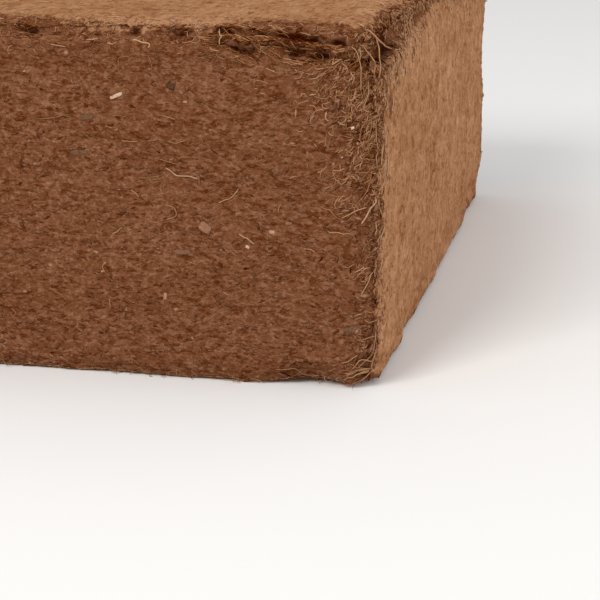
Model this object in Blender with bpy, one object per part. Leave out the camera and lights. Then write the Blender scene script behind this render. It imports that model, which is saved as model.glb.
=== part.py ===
"""Pressed coconut coir bale, one solid block of pith and fibre that lies on its broad side.

It was squeezed along Y. The front and back are rough press faces, and the other four sides are
smooth because they slid along the mould. Its edges have crumbled into ragged bands.
Units are metres, +Z is up, and the origin is at the middle of the base.
"""

import math

import bmesh
import bpy
from mathutils import Vector, noise

# Driving dimensions of the block
NAME = "coir_bale"
LENGTH = 0.300
DEPTH = 0.300
HEIGHT = 0.120

# Facets along each side, and how strongly they crowd towards the edges, from 0 to 1
LENGTH_CUTS = 42
DEPTH_CUTS = 42
HEIGHT_CUTS = 18
CROWDING = 0.62

# Rounding of the edges along X, Y and Z, before they wear
ROUNDING = (0.0030, 0.0022, 0.0026)

# Worn edges: how far the wear reaches in from an edge, and how deep it goes.
# A rim runs round a press face. A side edge runs along Y, where two mould faces meet.
# The wear is full along the top, and only the share of BASE_WEAR is left of it along the base.
RIM_REACH = 0.0090
RIM_CRUMBLE = 0.0026
SIDE_EDGE_REACH = 0.0160
SIDE_EDGE_CRUMBLE = 0.0048
BASE_WEAR = 0.30
CRUMBLE_PITCH = 0.0140

# Relief of the faces: broad swells and smaller lumps on the press faces, faint waves on the sides
SWELL_PITCH = 0.070
SWELL_DEPTH = 0.0016
LUMP_PITCH = 0.019
LUMP_DEPTH = 0.0015
WAVE_PITCH = 0.055
WAVE_DEPTH = 0.0007

# Pits and chipped places along the edges: centre, reach along X, Y and Z, and depth
PITS = (
    ((0.150, -0.141, 0.112), (0.013, 0.014, 0.012), 0.0075),
    ((0.138, -0.150, 0.120), (0.024, 0.015, 0.009), 0.0035),
    ((0.150, -0.150, 0.000), (0.013, 0.013, 0.016), 0.0042),
    ((0.150, -0.108, 0.116), (0.012, 0.014, 0.010), 0.0040),
    ((0.150, 0.150, 0.000), (0.020, 0.024, 0.020), 0.0060),
    ((0.150, -0.060, 0.113), (0.014, 0.018, 0.010), 0.0040),
    ((0.150, 0.040, 0.112), (0.014, 0.030, 0.011), 0.0040),
    ((0.128, -0.150, 0.000), (0.018, 0.012, 0.009), 0.0035),
    ((0.150, 0.105, 0.008), (0.014, 0.024, 0.010), 0.0045),
    ((-0.150, -0.090, 0.114), (0.014, 0.024, 0.010), 0.0045),
    ((-0.150, 0.085, 0.006), (0.014, 0.020, 0.010), 0.0040),
    ((-0.150, -0.150, 0.030), (0.014, 0.014, 0.016), 0.0045),
    ((-0.105, -0.150, 0.115), (0.028, 0.012, 0.008), 0.0035),
    ((-0.060, 0.150, 0.114), (0.026, 0.012, 0.009), 0.0040),
    ((0.150, 0.150, 0.070), (0.014, 0.014, 0.020), 0.0045),
    ((0.090, 0.150, 0.006), (0.026, 0.012, 0.009), 0.0035),
)

# Splits that run along the layers of a press face: both ends, half of the width, and depth
SPLITS = (
    ((0.098, -0.150, 0.1135), (0.140, -0.150, 0.1110), 0.0042, 0.0040),
    ((-0.128, -0.150, 0.0095), (-0.070, -0.150, 0.0080), 0.0042, 0.0030),
    ((-0.040, 0.150, 0.1095), (0.030, 0.150, 0.1120), 0.0042, 0.0035),
)

# Colours of the dark pith inside and of the pale skin rubbed by the mould
PITH_COLOUR = (0.175, 0.070, 0.031, 1.0)
SKIN_COLOUR = (0.370, 0.180, 0.085, 1.0)
ROUGHNESS = 0.95

HALF = Vector((LENGTH / 2, DEPTH / 2, HEIGHT / 2))
MIDDLE = Vector((0.0, 0.0, HEIGHT / 2))


def clear_scene():
    """Removes every object that the scene starts with."""
    for item in list(bpy.data.objects):
        bpy.data.objects.remove(item, do_unlink=True)


def closeness(distance, reach):
    """1 at no distance, falling smoothly to 0 where the distance is the reach."""
    share = min(max(1.0 - distance / reach, 0.0), 1.0)
    return share * share * (3.0 - 2.0 * share)


def roughly(place, pitch, shift):
    """Smooth noise between 0 and 1 with lumps of the given pitch; shift picks another pattern."""
    value = noise.noise(place / pitch + Vector((shift, -shift, 2.0 * shift)))
    return min(max(0.5 + 0.75 * value, 0.0), 1.0)


def crowd(share):
    """Moves an even division of a side, from -1 to 1, towards the nearer end."""
    return share + CROWDING * math.sin(math.pi * share) / math.pi


def gridded_block():
    """A closed box whose sides are cut into facets that get finer towards its edges."""
    block = bmesh.new()
    bmesh.ops.create_cube(block, size=2.0)
    for axis, cuts in enumerate((LENGTH_CUTS, DEPTH_CUTS, HEIGHT_CUTS)):
        along = [edge for edge in block.edges if edge_axis(edge) == axis]
        bmesh.ops.subdivide_edges(block, edges=along, cuts=cuts - 1, use_grid_fill=True)
    for vert in block.verts:
        vert.co = Vector([half * crowd(share) for half, share in zip(HALF, vert.co)])
    return block


def edge_axis(edge):
    """The axis, 0 to 2, that an edge of the box runs along."""
    run = edge.verts[1].co - edge.verts[0].co
    return max(range(3), key=lambda axis: abs(run[axis]))


def face_depth(place, gaps):
    """How far the face's own relief lies below the flat face, which top and base keep."""
    own = gaps.index(min(gaps))
    if own == 1:
        swell = SWELL_DEPTH * roughly(place, SWELL_PITCH, 3.7)
        return swell + LUMP_DEPTH * roughly(place, LUMP_PITCH, 8.1)
    if own == 0:
        return WAVE_DEPTH * roughly(place, WAVE_PITCH, 5.3)
    return 0.0


def edge_depth(place, gaps):
    """How far the nearest rim or side edge has crumbled away."""
    rim_gap = max(gaps[1], min(gaps[0], gaps[2]))
    side_gap = max(gaps[0], gaps[2])
    rim = closeness(rim_gap, RIM_REACH) * RIM_CRUMBLE * roughly(place, CRUMBLE_PITCH, 1.9)
    side = closeness(side_gap, SIDE_EDGE_REACH) * SIDE_EDGE_CRUMBLE * roughly(place, CRUMBLE_PITCH, 6.4)
    height = 0.5 + 0.5 * place.z / HALF.z
    return max(rim, side) * (BASE_WEAR + (1.0 - BASE_WEAR) * height)


def pit_depth(place):
    """Depth of the deepest pit at a place, 0 away from all pits."""
    deepest = 0.0
    for centre, reach, depth in PITS:
        offset = [(a - b) / c for a, b, c in zip(place + MIDDLE, centre, reach)]
        deepest = max(deepest, depth * closeness(Vector(offset).length, 1.0))
    return deepest


def split_depth(place):
    """Depth of the split at a place, 0 away from all splits."""
    deepest = 0.0
    for start, end, half_width, depth in SPLITS:
        start, end = Vector(start) - MIDDLE, Vector(end) - MIDDLE
        run = end - start
        share = min(max((place - start).dot(run) / run.length_squared, 0.0), 1.0)
        away = (place - start - run * share).length
        deepest = max(deepest, depth * closeness(away, half_width))
    return deepest


def rounded(place):
    """Where a point of the sharp box lies once its edges are rounded."""
    flat = [half - reach for half, reach in zip(HALF, ROUNDING)]
    core = [min(max(side, -limit), limit) for side, limit in zip(place, flat)]
    bend = [(side - inner) / reach for side, inner, reach in zip(place, core, ROUNDING)]
    turns = Vector(bend).normalized()
    return Vector([inner + reach * turn for inner, reach, turn in zip(core, ROUNDING, turns)])


def inward(place, gaps):
    """Unit direction into the block: square to a face, and slanting where two or three meet."""
    pull = [math.copysign(closeness(gap, SIDE_EDGE_REACH), side) for gap, side in zip(gaps, place)]
    return -Vector(pull).normalized()


def worn(place):
    """Where a point of the sharp box ends up on the worn block."""
    gaps = [half - abs(side) for half, side in zip(HALF, place)]
    depth = face_depth(place, gaps) + edge_depth(place, gaps) + pit_depth(place) + split_depth(place)
    return rounded(place) + inward(place, gaps) * depth


def fit_to_size(block):
    """Stretches the worn block so that it measures exactly its length, depth and height."""
    for axis, half in enumerate(HALF):
        sides = [vert.co[axis] for vert in block.verts]
        low, high = min(sides), max(sides)
        for vert in block.verts:
            vert.co[axis] = (2.0 * (vert.co[axis] - low) / (high - low) - 1.0) * half


def material(name, colour):
    """Dull, dry material of one colour."""
    made = bpy.data.materials.new(name)
    made.use_nodes = True
    shader = made.node_tree.nodes["Principled BSDF"]
    shader.inputs["Base Color"].default_value = colour
    shader.inputs["Roughness"].default_value = ROUGHNESS
    shader.inputs["Metallic"].default_value = 0.0
    made.diffuse_color = colour
    return made


def colour_faces(mesh):
    """Gives pith to the faces that look along Y and skin to the others."""
    mesh.materials.append(material("coir_pith", PITH_COLOUR))
    mesh.materials.append(material("coir_skin", SKIN_COLOUR))
    for face in mesh.polygons:
        along_x, along_y, along_z = [abs(part) for part in face.normal]
        face.material_index = 0 if along_y > max(along_x, along_z) else 1


def build_bale():
    """Makes the bale and puts it in its own collection."""
    block = gridded_block()
    for vert in block.verts:
        vert.co = worn(vert.co.copy())
    fit_to_size(block)
    bmesh.ops.translate(block, verts=block.verts, vec=MIDDLE)
    bmesh.ops.recalc_face_normals(block, faces=block.faces)
    mesh = bpy.data.meshes.new(NAME)
    block.to_mesh(mesh)
    block.free()
    colour_faces(mesh)
    bale = bpy.data.objects.new(NAME, mesh)
    group = bpy.data.collections.new(NAME)
    bpy.context.scene.collection.children.link(group)
    group.objects.link(bale)
    return bale


clear_scene()
build_bale()
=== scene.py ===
"""Looks of a pressed coconut coir bale: felted press faces, a combed skin where the mould rubbed it,
ragged edges, and the loose fibres, flakes and crumbs that cling to it.

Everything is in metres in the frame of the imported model: +Z is up and the base is on the floor.
"""

import logging
import math
from collections.abc import Iterable
from dataclasses import dataclass, field
from enum import Enum

import bmesh
import bpy
import numpy as np
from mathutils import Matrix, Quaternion, Vector, noise
from mathutils.bvhtree import BVHTree


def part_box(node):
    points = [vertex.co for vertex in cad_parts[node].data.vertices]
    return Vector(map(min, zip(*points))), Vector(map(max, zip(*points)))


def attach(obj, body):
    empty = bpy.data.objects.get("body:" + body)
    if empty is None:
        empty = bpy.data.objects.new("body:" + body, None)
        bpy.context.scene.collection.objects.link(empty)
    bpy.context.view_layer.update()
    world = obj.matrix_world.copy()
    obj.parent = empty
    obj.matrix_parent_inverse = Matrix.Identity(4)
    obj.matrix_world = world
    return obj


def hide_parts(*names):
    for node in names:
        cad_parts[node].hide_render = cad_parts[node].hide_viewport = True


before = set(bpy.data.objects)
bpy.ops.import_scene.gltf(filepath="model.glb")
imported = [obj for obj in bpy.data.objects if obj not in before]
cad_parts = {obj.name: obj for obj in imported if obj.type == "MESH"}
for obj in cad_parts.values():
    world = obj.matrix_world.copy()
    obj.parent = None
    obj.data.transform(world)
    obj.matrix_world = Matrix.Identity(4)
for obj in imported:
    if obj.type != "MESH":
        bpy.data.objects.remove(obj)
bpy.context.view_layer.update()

NODE = "coir_bale"
BODY = "root"
MM = 0.001
LOG = logging.getLogger("coir_bale")

# How bright a white surface is in the studio's light
STUDIO_LIGHT = 1.12

Pair = tuple[float, float]
Triple = tuple[float, float, float]
Stops = tuple[tuple[float, Triple], ...]
Relief = tuple[float | Triple, float]
Socket = bpy.types.NodeSocket


def linear(colour: Triple) -> tuple[float, float, float, float]:
    """Finds the colour of a surface that shows as the given colour on screen in the studio's light.

    Args:
        colour: red, green and blue on screen, from 0 to 255.

    Returns:
        Red, green, blue and a full alpha, from 0 to 1, in linear light.
    """
    shares = [part / 255.0 for part in colour]
    light = [s / 12.92 if s <= 0.04045 else ((s + 0.055) / 1.055) ** 2.4 for s in shares]
    red, green, blue = [part / STUDIO_LIGHT for part in light]
    return (red, green, blue, 1.0)


def closeness(distance: np.ndarray, reach: float) -> np.ndarray:
    """Falls smoothly from 1 at no distance to 0 at the reach.

    Args:
        distance: distances, none of them negative.
        reach: the distance at which the result is 0.

    Returns:
        One value from 0 to 1 for each distance.
    """
    share = np.clip(1.0 - distance / reach, 0.0, 1.0)
    return share * share * (3.0 - 2.0 * share)


class Pattern(Enum):
    """The noise patterns of the bale, by how far each is shifted."""

    SWELL = 3.7
    LUMP = 8.1
    WAVE = 5.3
    RIM = 1.9
    SIDE_EDGE = 6.4
    FLAKE = 4.4
    RUB = 7.7
    CLODS = 12.5
    SMALL_CLODS = 14.9
    TORN_HOLES = 33.0
    POCKETS = 63.0
    RAGGED_SKIN = 21.0
    LIP = 51.0
    CLUMPS = 31.0
    SWIRL = 41.0
    LEAN = 43.0


def roughly(places: np.ndarray, pitch: float | Triple, pattern: Pattern) -> np.ndarray:
    """Smooth noise with lumps of the given pitch.

    Args:
        places: points, one a row.
        pitch: size of the lumps, the same each way or one for each axis.
        pattern: which of the patterns to read.

    Returns:
        One value from 0 to 1 for each point.
    """
    shift = pattern.value
    shifted = places / np.asarray(pitch) + np.array((shift, -shift, 2.0 * shift))
    values = np.array([noise.noise(place) for place in shifted.tolist()])
    return np.clip(0.5 + 0.75 * values, 0.0, 1.0)


def steepened(values: np.ndarray, gain: float, start: float, least: float = 0.0) -> np.ndarray:
    """Multiplies values by a gain, takes a start off them and keeps them between a least value and 1."""
    return np.clip(values * gain - start, least, 1.0)


def unit(vectors: np.ndarray) -> np.ndarray:
    """Scales vectors along the last axis to length 1."""
    return vectors / (np.linalg.norm(vectors, axis=-1, keepdims=True) + 1e-12)


@dataclass(frozen=True)
class Pit:
    """A place torn out of an edge: its centre, its reach along X, Y and Z, and its depth."""

    centre: Triple
    reach: Triple
    depth: float


@dataclass(frozen=True)
class Split:
    """A split along the layers of a press face: both ends, half of its width, and its depth."""

    start: Triple
    end: Triple
    half_width: float
    depth: float


PITS = (
    Pit((0.150, -0.141, 0.112), (0.013, 0.014, 0.012), 0.0075),
    Pit((0.138, -0.150, 0.120), (0.024, 0.015, 0.009), 0.0035),
    Pit((0.150, -0.150, 0.000), (0.013, 0.013, 0.016), 0.0042),
    Pit((0.150, -0.108, 0.116), (0.012, 0.014, 0.010), 0.0040),
    Pit((0.150, 0.150, 0.000), (0.020, 0.024, 0.020), 0.0060),
    Pit((0.150, -0.060, 0.113), (0.014, 0.018, 0.010), 0.0040),
    Pit((0.150, 0.040, 0.112), (0.014, 0.030, 0.011), 0.0040),
    Pit((0.128, -0.150, 0.000), (0.018, 0.012, 0.009), 0.0035),
    Pit((0.150, 0.105, 0.008), (0.014, 0.024, 0.010), 0.0045),
    Pit((-0.150, -0.090, 0.114), (0.014, 0.024, 0.010), 0.0045),
    Pit((-0.150, 0.085, 0.006), (0.014, 0.020, 0.010), 0.0040),
    Pit((-0.150, -0.150, 0.030), (0.014, 0.014, 0.016), 0.0045),
    Pit((-0.105, -0.150, 0.115), (0.028, 0.012, 0.008), 0.0035),
    Pit((-0.060, 0.150, 0.114), (0.026, 0.012, 0.009), 0.0040),
    Pit((0.150, 0.150, 0.070), (0.014, 0.014, 0.020), 0.0045),
    Pit((0.090, 0.150, 0.006), (0.026, 0.012, 0.009), 0.0035),
)

SPLITS = (
    Split((0.098, -0.150, 0.1135), (0.140, -0.150, 0.1110), 0.0042, 0.0040),
    Split((-0.128, -0.150, 0.0095), (-0.070, -0.150, 0.0080), 0.0042, 0.0030),
    Split((-0.040, 0.150, 0.1095), (0.030, 0.150, 0.1120), 0.0042, 0.0035),
)

# The hole at the bottom of the corner pit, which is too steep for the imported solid
CORNER_HOLE = Pit((0.155, -0.130, 0.1140), (0.016, 0.0210, 0.0100), 0.0050)

# Rims and edges whose skin is torn off, with how surely it is torn in place of a depth
TORN_RIMS = (
    Pit((0.126, -0.150, 0.120), (0.034, 0.015, 0.010), 1.0),
    Pit((0.150, -0.112, 0.117), (0.012, 0.052, 0.013), 0.60),
    Pit((0.150, -0.030, 0.120), (0.013, 0.060, 0.011), 0.50),
    Pit((0.026, -0.150, 0.120), (0.034, 0.010, 0.005), 0.9),
    Pit((-0.096, -0.150, 0.120), (0.030, 0.014, 0.007), 1.0),
    Pit((0.060, 0.150, 0.120), (0.044, 0.014, 0.008), 1.0),
    Pit((-0.090, 0.150, 0.120), (0.030, 0.012, 0.006), 0.9),
)


@dataclass(frozen=True)
class SkinBorder:
    """Where the rubbed skin ends. A band is bare pith, and a fade is how far skin takes to become whole."""

    ragged_pitch: float = 0.013

    # Band on the sides along an upright rim: how wide it is and how it narrows downwards, all the
    # way and only near the top
    tear: float = 0.0240
    tear_rise: float = 1.5
    corner_tear: float = 0.0600
    corner_rise: float = 8.0

    # Band on the top and base along their rims: the least, what the ragged line adds, and a shift of both
    rim_band: Pair = (-0.0020, 0.0040)
    rim_shift: float = -0.0015

    # Band along the side edges, the least and what the ragged line adds
    side_band: Pair = (0.0008, 0.0085)

    # Fades from a rim, near it and far from it, and from a side edge
    near_fade: float = 0.014
    far_start: float = 0.055
    far_fade: float = 0.28
    side_fade: float = 0.028

    # Lip of skin that bends over the upper rim onto a press face
    lip_pitch: float = 0.021
    lip_height: float = 0.0044
    lip_drop: float = 0.0022
    lip_fade: float = 0.011
    lip_end: float = 0.012

    # How strongly pits and torn rims bare the mould faces and the lip, and the pits' share at the base
    pits_at_base: float = 0.3
    pits_bare: float = 70.0
    pits_bare_lip: float = 3.0
    rims_bare: float = 0.8
    rims_bare_lip: float = 0.5


@dataclass(frozen=True)
class HollowShade:
    """How dark the painted shade in the hollows is. A span is the depth, in metres, that would be fully
    dark.
    """

    pit_start: float = 0.0015
    pit_span: float = 0.0080
    pit_on_press: float = 0.4
    pit_on_mould: float = 0.75
    split_span: float = 0.0048
    hole_span: float = 0.0020
    hole_darkest: float = 0.7
    clods_darkest: float = 0.9
    clods_gain: float = 2.4
    clods_start: float = 1.0


@dataclass(frozen=True)
class WornForm:
    """Shape of the worn block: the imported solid's rules, with finer relief on top of them.

    A relief is its pitch, all round or along X, Y and Z, and its depth.
    """

    half: Triple
    rounding: Triple = (0.0030, 0.0022, 0.0026)
    rim_reach: float = 0.0090
    rim_crumble: float = 0.0026
    side_reach: float = 0.0160
    side_crumble: float = 0.0048
    base_wear: float = 0.30
    crumble_pitch: float = 0.0140
    swell: Relief = (0.070, 0.0016)
    lump: Relief = (0.019, 0.0015)
    wave: Relief = (0.055, 0.0007)

    # Finer relief of the press faces, of the mould faces and of crumbled edges
    press_reach: float = 0.004
    flake: Relief = ((0.0085, 0.0040, 0.0038), 0.0006)
    rub: Relief = ((0.0200, 0.0085, 0.0200), 0.00025)
    clods: Relief = (0.0062, 0.0014)
    small_clods: Relief = (0.0030, 0.0008)

    # Torn border of a press face beside an upright rim: its reach along X and Y, and its holes
    border_reach: Pair = (0.026, 0.006)
    torn_holes: Relief = ((0.0070, 0.0060, 0.0058), 0.0020)
    torn_holes_gain: float = 5.0
    torn_holes_start: float = 3.25

    # Torn rims: how deep they are, and how far down from the top they reach
    torn_rim_depth: float = 0.0016
    torn_rim_reach: float = 0.006

    # Reach of the crumbled band along a rim, and how crumbled side edges and torn borders are
    band_reach: float = 0.006
    side_edge_band: float = 0.8
    border_band: float = 0.35

    # Size of the open pockets in a split along X, Y and Z, how sharply they end, and what is open elsewhere
    pocket: Triple = (0.0062, 0.0200, 0.0018)
    pocket_gain: float = 2.4
    pocket_start: float = 0.7
    least_open: float = 0.10

    # How much steeper the corner hole is than a pit
    hole_steepness: float = 2.5

    skin_border: SkinBorder = SkinBorder()
    shade: HollowShade = HollowShade()

    def gaps(self, places: np.ndarray) -> np.ndarray:
        """Distance of each point of the sharp box to the planes of its three nearest sides."""
        return np.asarray(self.half) - np.abs(places)

    def deepest(self, places: np.ndarray, pits: Iterable[Pit]) -> np.ndarray:
        """Depth of the deepest of some pits at each point.

        Args:
            places: points of the sharp box, one a row, from its middle.
            pits: the pits to look at.

        Returns:
            One depth for each point, 0 away from all pits.
        """
        depth = np.zeros(len(places))
        for pit in pits:
            centre = np.array(pit.centre) - (0.0, 0.0, self.half[2])
            away = np.linalg.norm((places - centre) / np.array(pit.reach), axis=1)
            depth = np.maximum(depth, pit.depth * closeness(away, 1.0))
        return depth

    def pit_depth(self, places: np.ndarray) -> np.ndarray:
        """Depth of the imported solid's pits at each point."""
        return self.deepest(places, PITS)

    def hole_depth(self, places: np.ndarray) -> np.ndarray:
        """Depth of the steep hole in the corner at each point, below the pit that it is in."""
        return np.minimum(self.hole_steepness * self.deepest(places, (CORNER_HOLE,)), CORNER_HOLE.depth)

    def torn_rims(self, places: np.ndarray) -> np.ndarray:
        """How surely each point is on a rim whose skin is torn off, from 0 to 1."""
        return self.deepest(places, TORN_RIMS)

    def split_depth(self, places: np.ndarray) -> np.ndarray:
        """Depth of the deepest split at each point.

        Args:
            places: points of the sharp box, one a row, from its middle.

        Returns:
            One depth for each point, 0 away from all splits.
        """
        deepest = np.zeros(len(places))
        middle = np.array((0.0, 0.0, self.half[2]))
        for split in SPLITS:
            start, end = np.array(split.start) - middle, np.array(split.end) - middle
            run = end - start
            share = np.clip((places - start) @ run / (run @ run), 0.0, 1.0)
            away = np.linalg.norm(places - start - share[:, None] * run, axis=1)
            deepest = np.maximum(deepest, split.depth * closeness(away, split.half_width))
        return deepest

    def open_splits(self, places: np.ndarray) -> np.ndarray:
        """Depth of the splits at each point, where strands that bridge them leave only pockets open."""
        pockets = roughly(places, self.pocket, Pattern.POCKETS)
        pockets = steepened(pockets, self.pocket_gain, self.pocket_start, self.least_open)
        return self.split_depth(places) * pockets

    def rim_gap(self, gaps: np.ndarray) -> np.ndarray:
        """Distance to the nearest rim of a press face."""
        return np.maximum(gaps[:, 1], np.minimum(gaps[:, 0], gaps[:, 2]))

    def side_gap(self, gaps: np.ndarray) -> np.ndarray:
        """Distance to the nearest edge between two mould faces."""
        return np.maximum(gaps[:, 0], gaps[:, 2])

    def height(self, places: np.ndarray) -> np.ndarray:
        """Height of each point, from 0 at the base to 1 at the top."""
        return 0.5 + 0.5 * places[:, 2] / self.half[2]

    def wear(self, places: np.ndarray) -> np.ndarray:
        """Share of the edges' wear that each height has."""
        return self.base_wear + (1.0 - self.base_wear) * self.height(places)

    def border(self, places: np.ndarray) -> np.ndarray:
        """How surely each point is in the torn border of a press face beside an upright rim."""
        across, deep = (closeness(self.gaps(places)[:, axis], self.border_reach[axis]) for axis in (0, 1))
        return deep * across * self.height(places)

    def torn(self, places: np.ndarray) -> np.ndarray:
        """How deep each point lies in the holes of a torn border, from 0 to 1."""
        holes = roughly(places, self.torn_holes[0], Pattern.TORN_HOLES)
        return self.border(places) * steepened(holes, self.torn_holes_gain, self.torn_holes_start)

    def edge_band(self, places: np.ndarray) -> np.ndarray:
        """How crumbled each point is for being near a rim or an edge.

        Args:
            places: points of the sharp box, one a row, from its middle.

        Returns:
            One value from 0 to 1 for each point.
        """
        gaps = self.gaps(places)
        rim = closeness(self.rim_gap(gaps), self.band_reach)
        side = self.side_edge_band * closeness(self.side_gap(gaps), self.side_reach)
        return np.maximum(np.maximum(rim, side) * self.wear(places), self.border_band * self.border(places))

    def relief(self, places: np.ndarray, relief: Relief, pattern: Pattern) -> np.ndarray:
        """Depth of a relief at each point, as noise of the given pattern."""
        return relief[1] * roughly(places, relief[0], pattern)

    def coarse_depth(self, places: np.ndarray) -> np.ndarray:
        """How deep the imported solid's surface lies below the sharp box.

        Args:
            places: points of the sharp box, one a row, from its middle.

        Returns:
            One depth for each point.
        """
        gaps = self.gaps(places)
        own = np.argmin(gaps, axis=1)
        press = self.relief(places, self.swell, Pattern.SWELL) + self.relief(places, self.lump, Pattern.LUMP)
        mould = self.relief(places, self.wave, Pattern.WAVE)
        face = np.where(own == 1, press, np.where(own == 0, mould, 0.0))
        rim = closeness(self.rim_gap(gaps), self.rim_reach) * self.rim_crumble
        side = closeness(self.side_gap(gaps), self.side_reach) * self.side_crumble
        rim *= roughly(places, self.crumble_pitch, Pattern.RIM)
        side *= roughly(places, self.crumble_pitch, Pattern.SIDE_EDGE)
        edge = np.maximum(rim, side) * self.wear(places)
        return face + edge + self.pit_depth(places) + self.open_splits(places)

    def fine_depth(self, places: np.ndarray) -> np.ndarray:
        """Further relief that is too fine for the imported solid.

        Args:
            places: points of the sharp box, one a row, from its middle.

        Returns:
            One depth for each point.
        """
        gaps = self.gaps(places)
        press = closeness(gaps[:, 1], self.press_reach)
        depth = press * self.relief(places, self.flake, Pattern.FLAKE)
        depth += (1.0 - press) * self.relief(places, self.rub, Pattern.RUB)
        band = self.edge_band(places)
        depth += band * self.relief(places, self.clods, Pattern.CLODS)
        depth += band * self.relief(places, self.small_clods, Pattern.SMALL_CLODS)
        near_top = closeness(gaps[:, 2], self.torn_rim_reach)
        depth += self.torn_rim_depth * self.torn_rims(places) * near_top
        return depth + self.torn_holes[1] * self.torn(places) + self.hole_depth(places)

    def rounded(self, places: np.ndarray) -> np.ndarray:
        """Rounds the edges of the sharp box.

        Args:
            places: points of the sharp box, one a row, from its middle.

        Returns:
            The same points on the rounded box.
        """
        rounding = np.asarray(self.rounding)
        flat = np.asarray(self.half) - rounding
        core = np.clip(places, -flat, flat)
        return core + rounding * unit((places - core) / rounding)

    def worn(self, places: np.ndarray) -> np.ndarray:
        """Moves the points of the sharp box to where they lie on the worn block.

        Args:
            places: points of the sharp box, one a row, from its middle.

        Returns:
            The worn points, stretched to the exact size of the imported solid.
        """
        inward = -unit(np.copysign(closeness(self.gaps(places), self.side_reach), places))
        depth = self.coarse_depth(places) + self.fine_depth(places)
        points = self.rounded(places) + inward * depth[:, None]
        low, high = points.min(axis=0), points.max(axis=0)
        return (2.0 * (points - low) / (high - low) - 1.0) * np.asarray(self.half)

    def skin(self, places: np.ndarray) -> np.ndarray:
        """How surely the rubbed skin covers each point.

        Args:
            places: points of the sharp box, one a row, from its middle.

        Returns:
            0 on bare pith, 1 on whole skin and 0.5 along the ragged border between them.
        """
        border, torn_rims = self.skin_border, self.torn_rims(places)
        pits_share = border.pits_at_base + (1.0 - border.pits_at_base) * self.height(places)
        pits = self.pit_depth(places) * pits_share
        mould = self.mould_skin(places) - border.pits_bare * pits - border.rims_bare * torn_rims
        lip = self.lip_skin(places, pits) - border.rims_bare_lip * torn_rims
        on_press = np.argmin(self.gaps(places), axis=1) == 1
        return np.clip(0.5 + np.where(on_press, lip, mould), 0.0, 1.0)

    def mould_skin(self, places: np.ndarray) -> np.ndarray:
        """How far inside the skin of a mould face each point lies, before pits and torn rims bare it.

        Args:
            places: points of the sharp box, one a row, from its middle.

        Returns:
            0 on the skin's border, up to 0.5 inside it and less than 0 outside it.
        """
        border, gaps, height = self.skin_border, self.gaps(places), self.height(places)
        ragged = roughly(places, border.ragged_pitch, Pattern.RAGGED_SKIN)
        torn_side = border.tear * ragged * height**border.tear_rise
        torn_side += border.corner_tear * (0.5 + 0.5 * ragged) * height**border.corner_rise
        level_band = border.rim_band[0] + border.rim_band[1] * ragged
        on_side = np.argmin(gaps, axis=1) == 0
        from_rim = gaps[:, 1] - np.where(on_side, torn_side, level_band) - border.rim_shift
        from_rim = np.minimum(from_rim / border.near_fade, border.far_start + from_rim / border.far_fade)
        side_band = (border.side_band[0] + border.side_band[1] * ragged) * height**2
        from_side = (self.side_gap(gaps) - side_band) / border.side_fade
        return np.minimum(np.minimum(from_rim, from_side), 0.5)

    def lip_skin(self, places: np.ndarray, pits: np.ndarray) -> np.ndarray:
        """How far inside the lip of skin that bends onto a press face each point lies.

        Args:
            places: points of the sharp box, one a row, from its middle.
            pits: depth of the pits at each point.

        Returns:
            More than 0 inside the lip, and -0.5 where there is none.
        """
        border, gaps = self.skin_border, self.gaps(places)
        lip = border.lip_height * roughly(places, border.lip_pitch, Pattern.LIP) - border.lip_drop
        lip = (lip - border.pits_bare_lip * pits - gaps[:, 2]) / border.lip_fade
        return np.where((places[:, 2] > 0.0) & (gaps[:, 0] > border.lip_end), lip, -0.5)

    def hollow(self, places: np.ndarray) -> np.ndarray:
        """How deep each point lies in a pit, a split, a torn hole or a gap between clods, which sets the
        painted shade there.

        Args:
            places: points of the sharp box, one a row, from its middle.

        Returns:
            One value from 0 to 1 for each point.
        """
        shade, height = self.shade, self.height(places)
        on_press = np.argmin(self.gaps(places), axis=1) == 1
        deep = np.maximum(self.pit_depth(places) - shade.pit_start, 0.0) / shade.pit_span * height
        deep *= np.where(on_press, shade.pit_on_press, shade.pit_on_mould)
        deep += self.open_splits(places) / shade.split_span
        deep += np.minimum(self.hole_depth(places) / shade.hole_span, shade.hole_darkest)
        between = roughly(places, self.clods[0], Pattern.CLODS)
        between = steepened(between, shade.clods_gain, shade.clods_start)
        near = shade.clods_darkest * self.edge_band(places) * between * height
        return np.clip(np.maximum(deep, np.maximum(near, self.torn(places))), 0.0, 1.0)


@dataclass(frozen=True)
class Speckle:
    """Layered noise in a finish: its weight, its pitch along X, Y and Z, and its finer layers.

    The detail is how many finer layers it has, rough is how strong they are, and the shift picks
    another pattern.
    """

    weight: float
    pitch: Triple
    detail: float = 4.0
    rough: float = 0.6
    shift: float = 0.0


@dataclass(frozen=True)
class Strands:
    """Thin wandering lines in a finish, such as fibres and the cracks between them.

    The pitch is how far apart they are and how long they run, the width is a share of it, and the
    cover is the share of each line that shows.
    """

    weight: float
    pitch: Triple
    width: float
    cover: float
    shift: float


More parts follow.
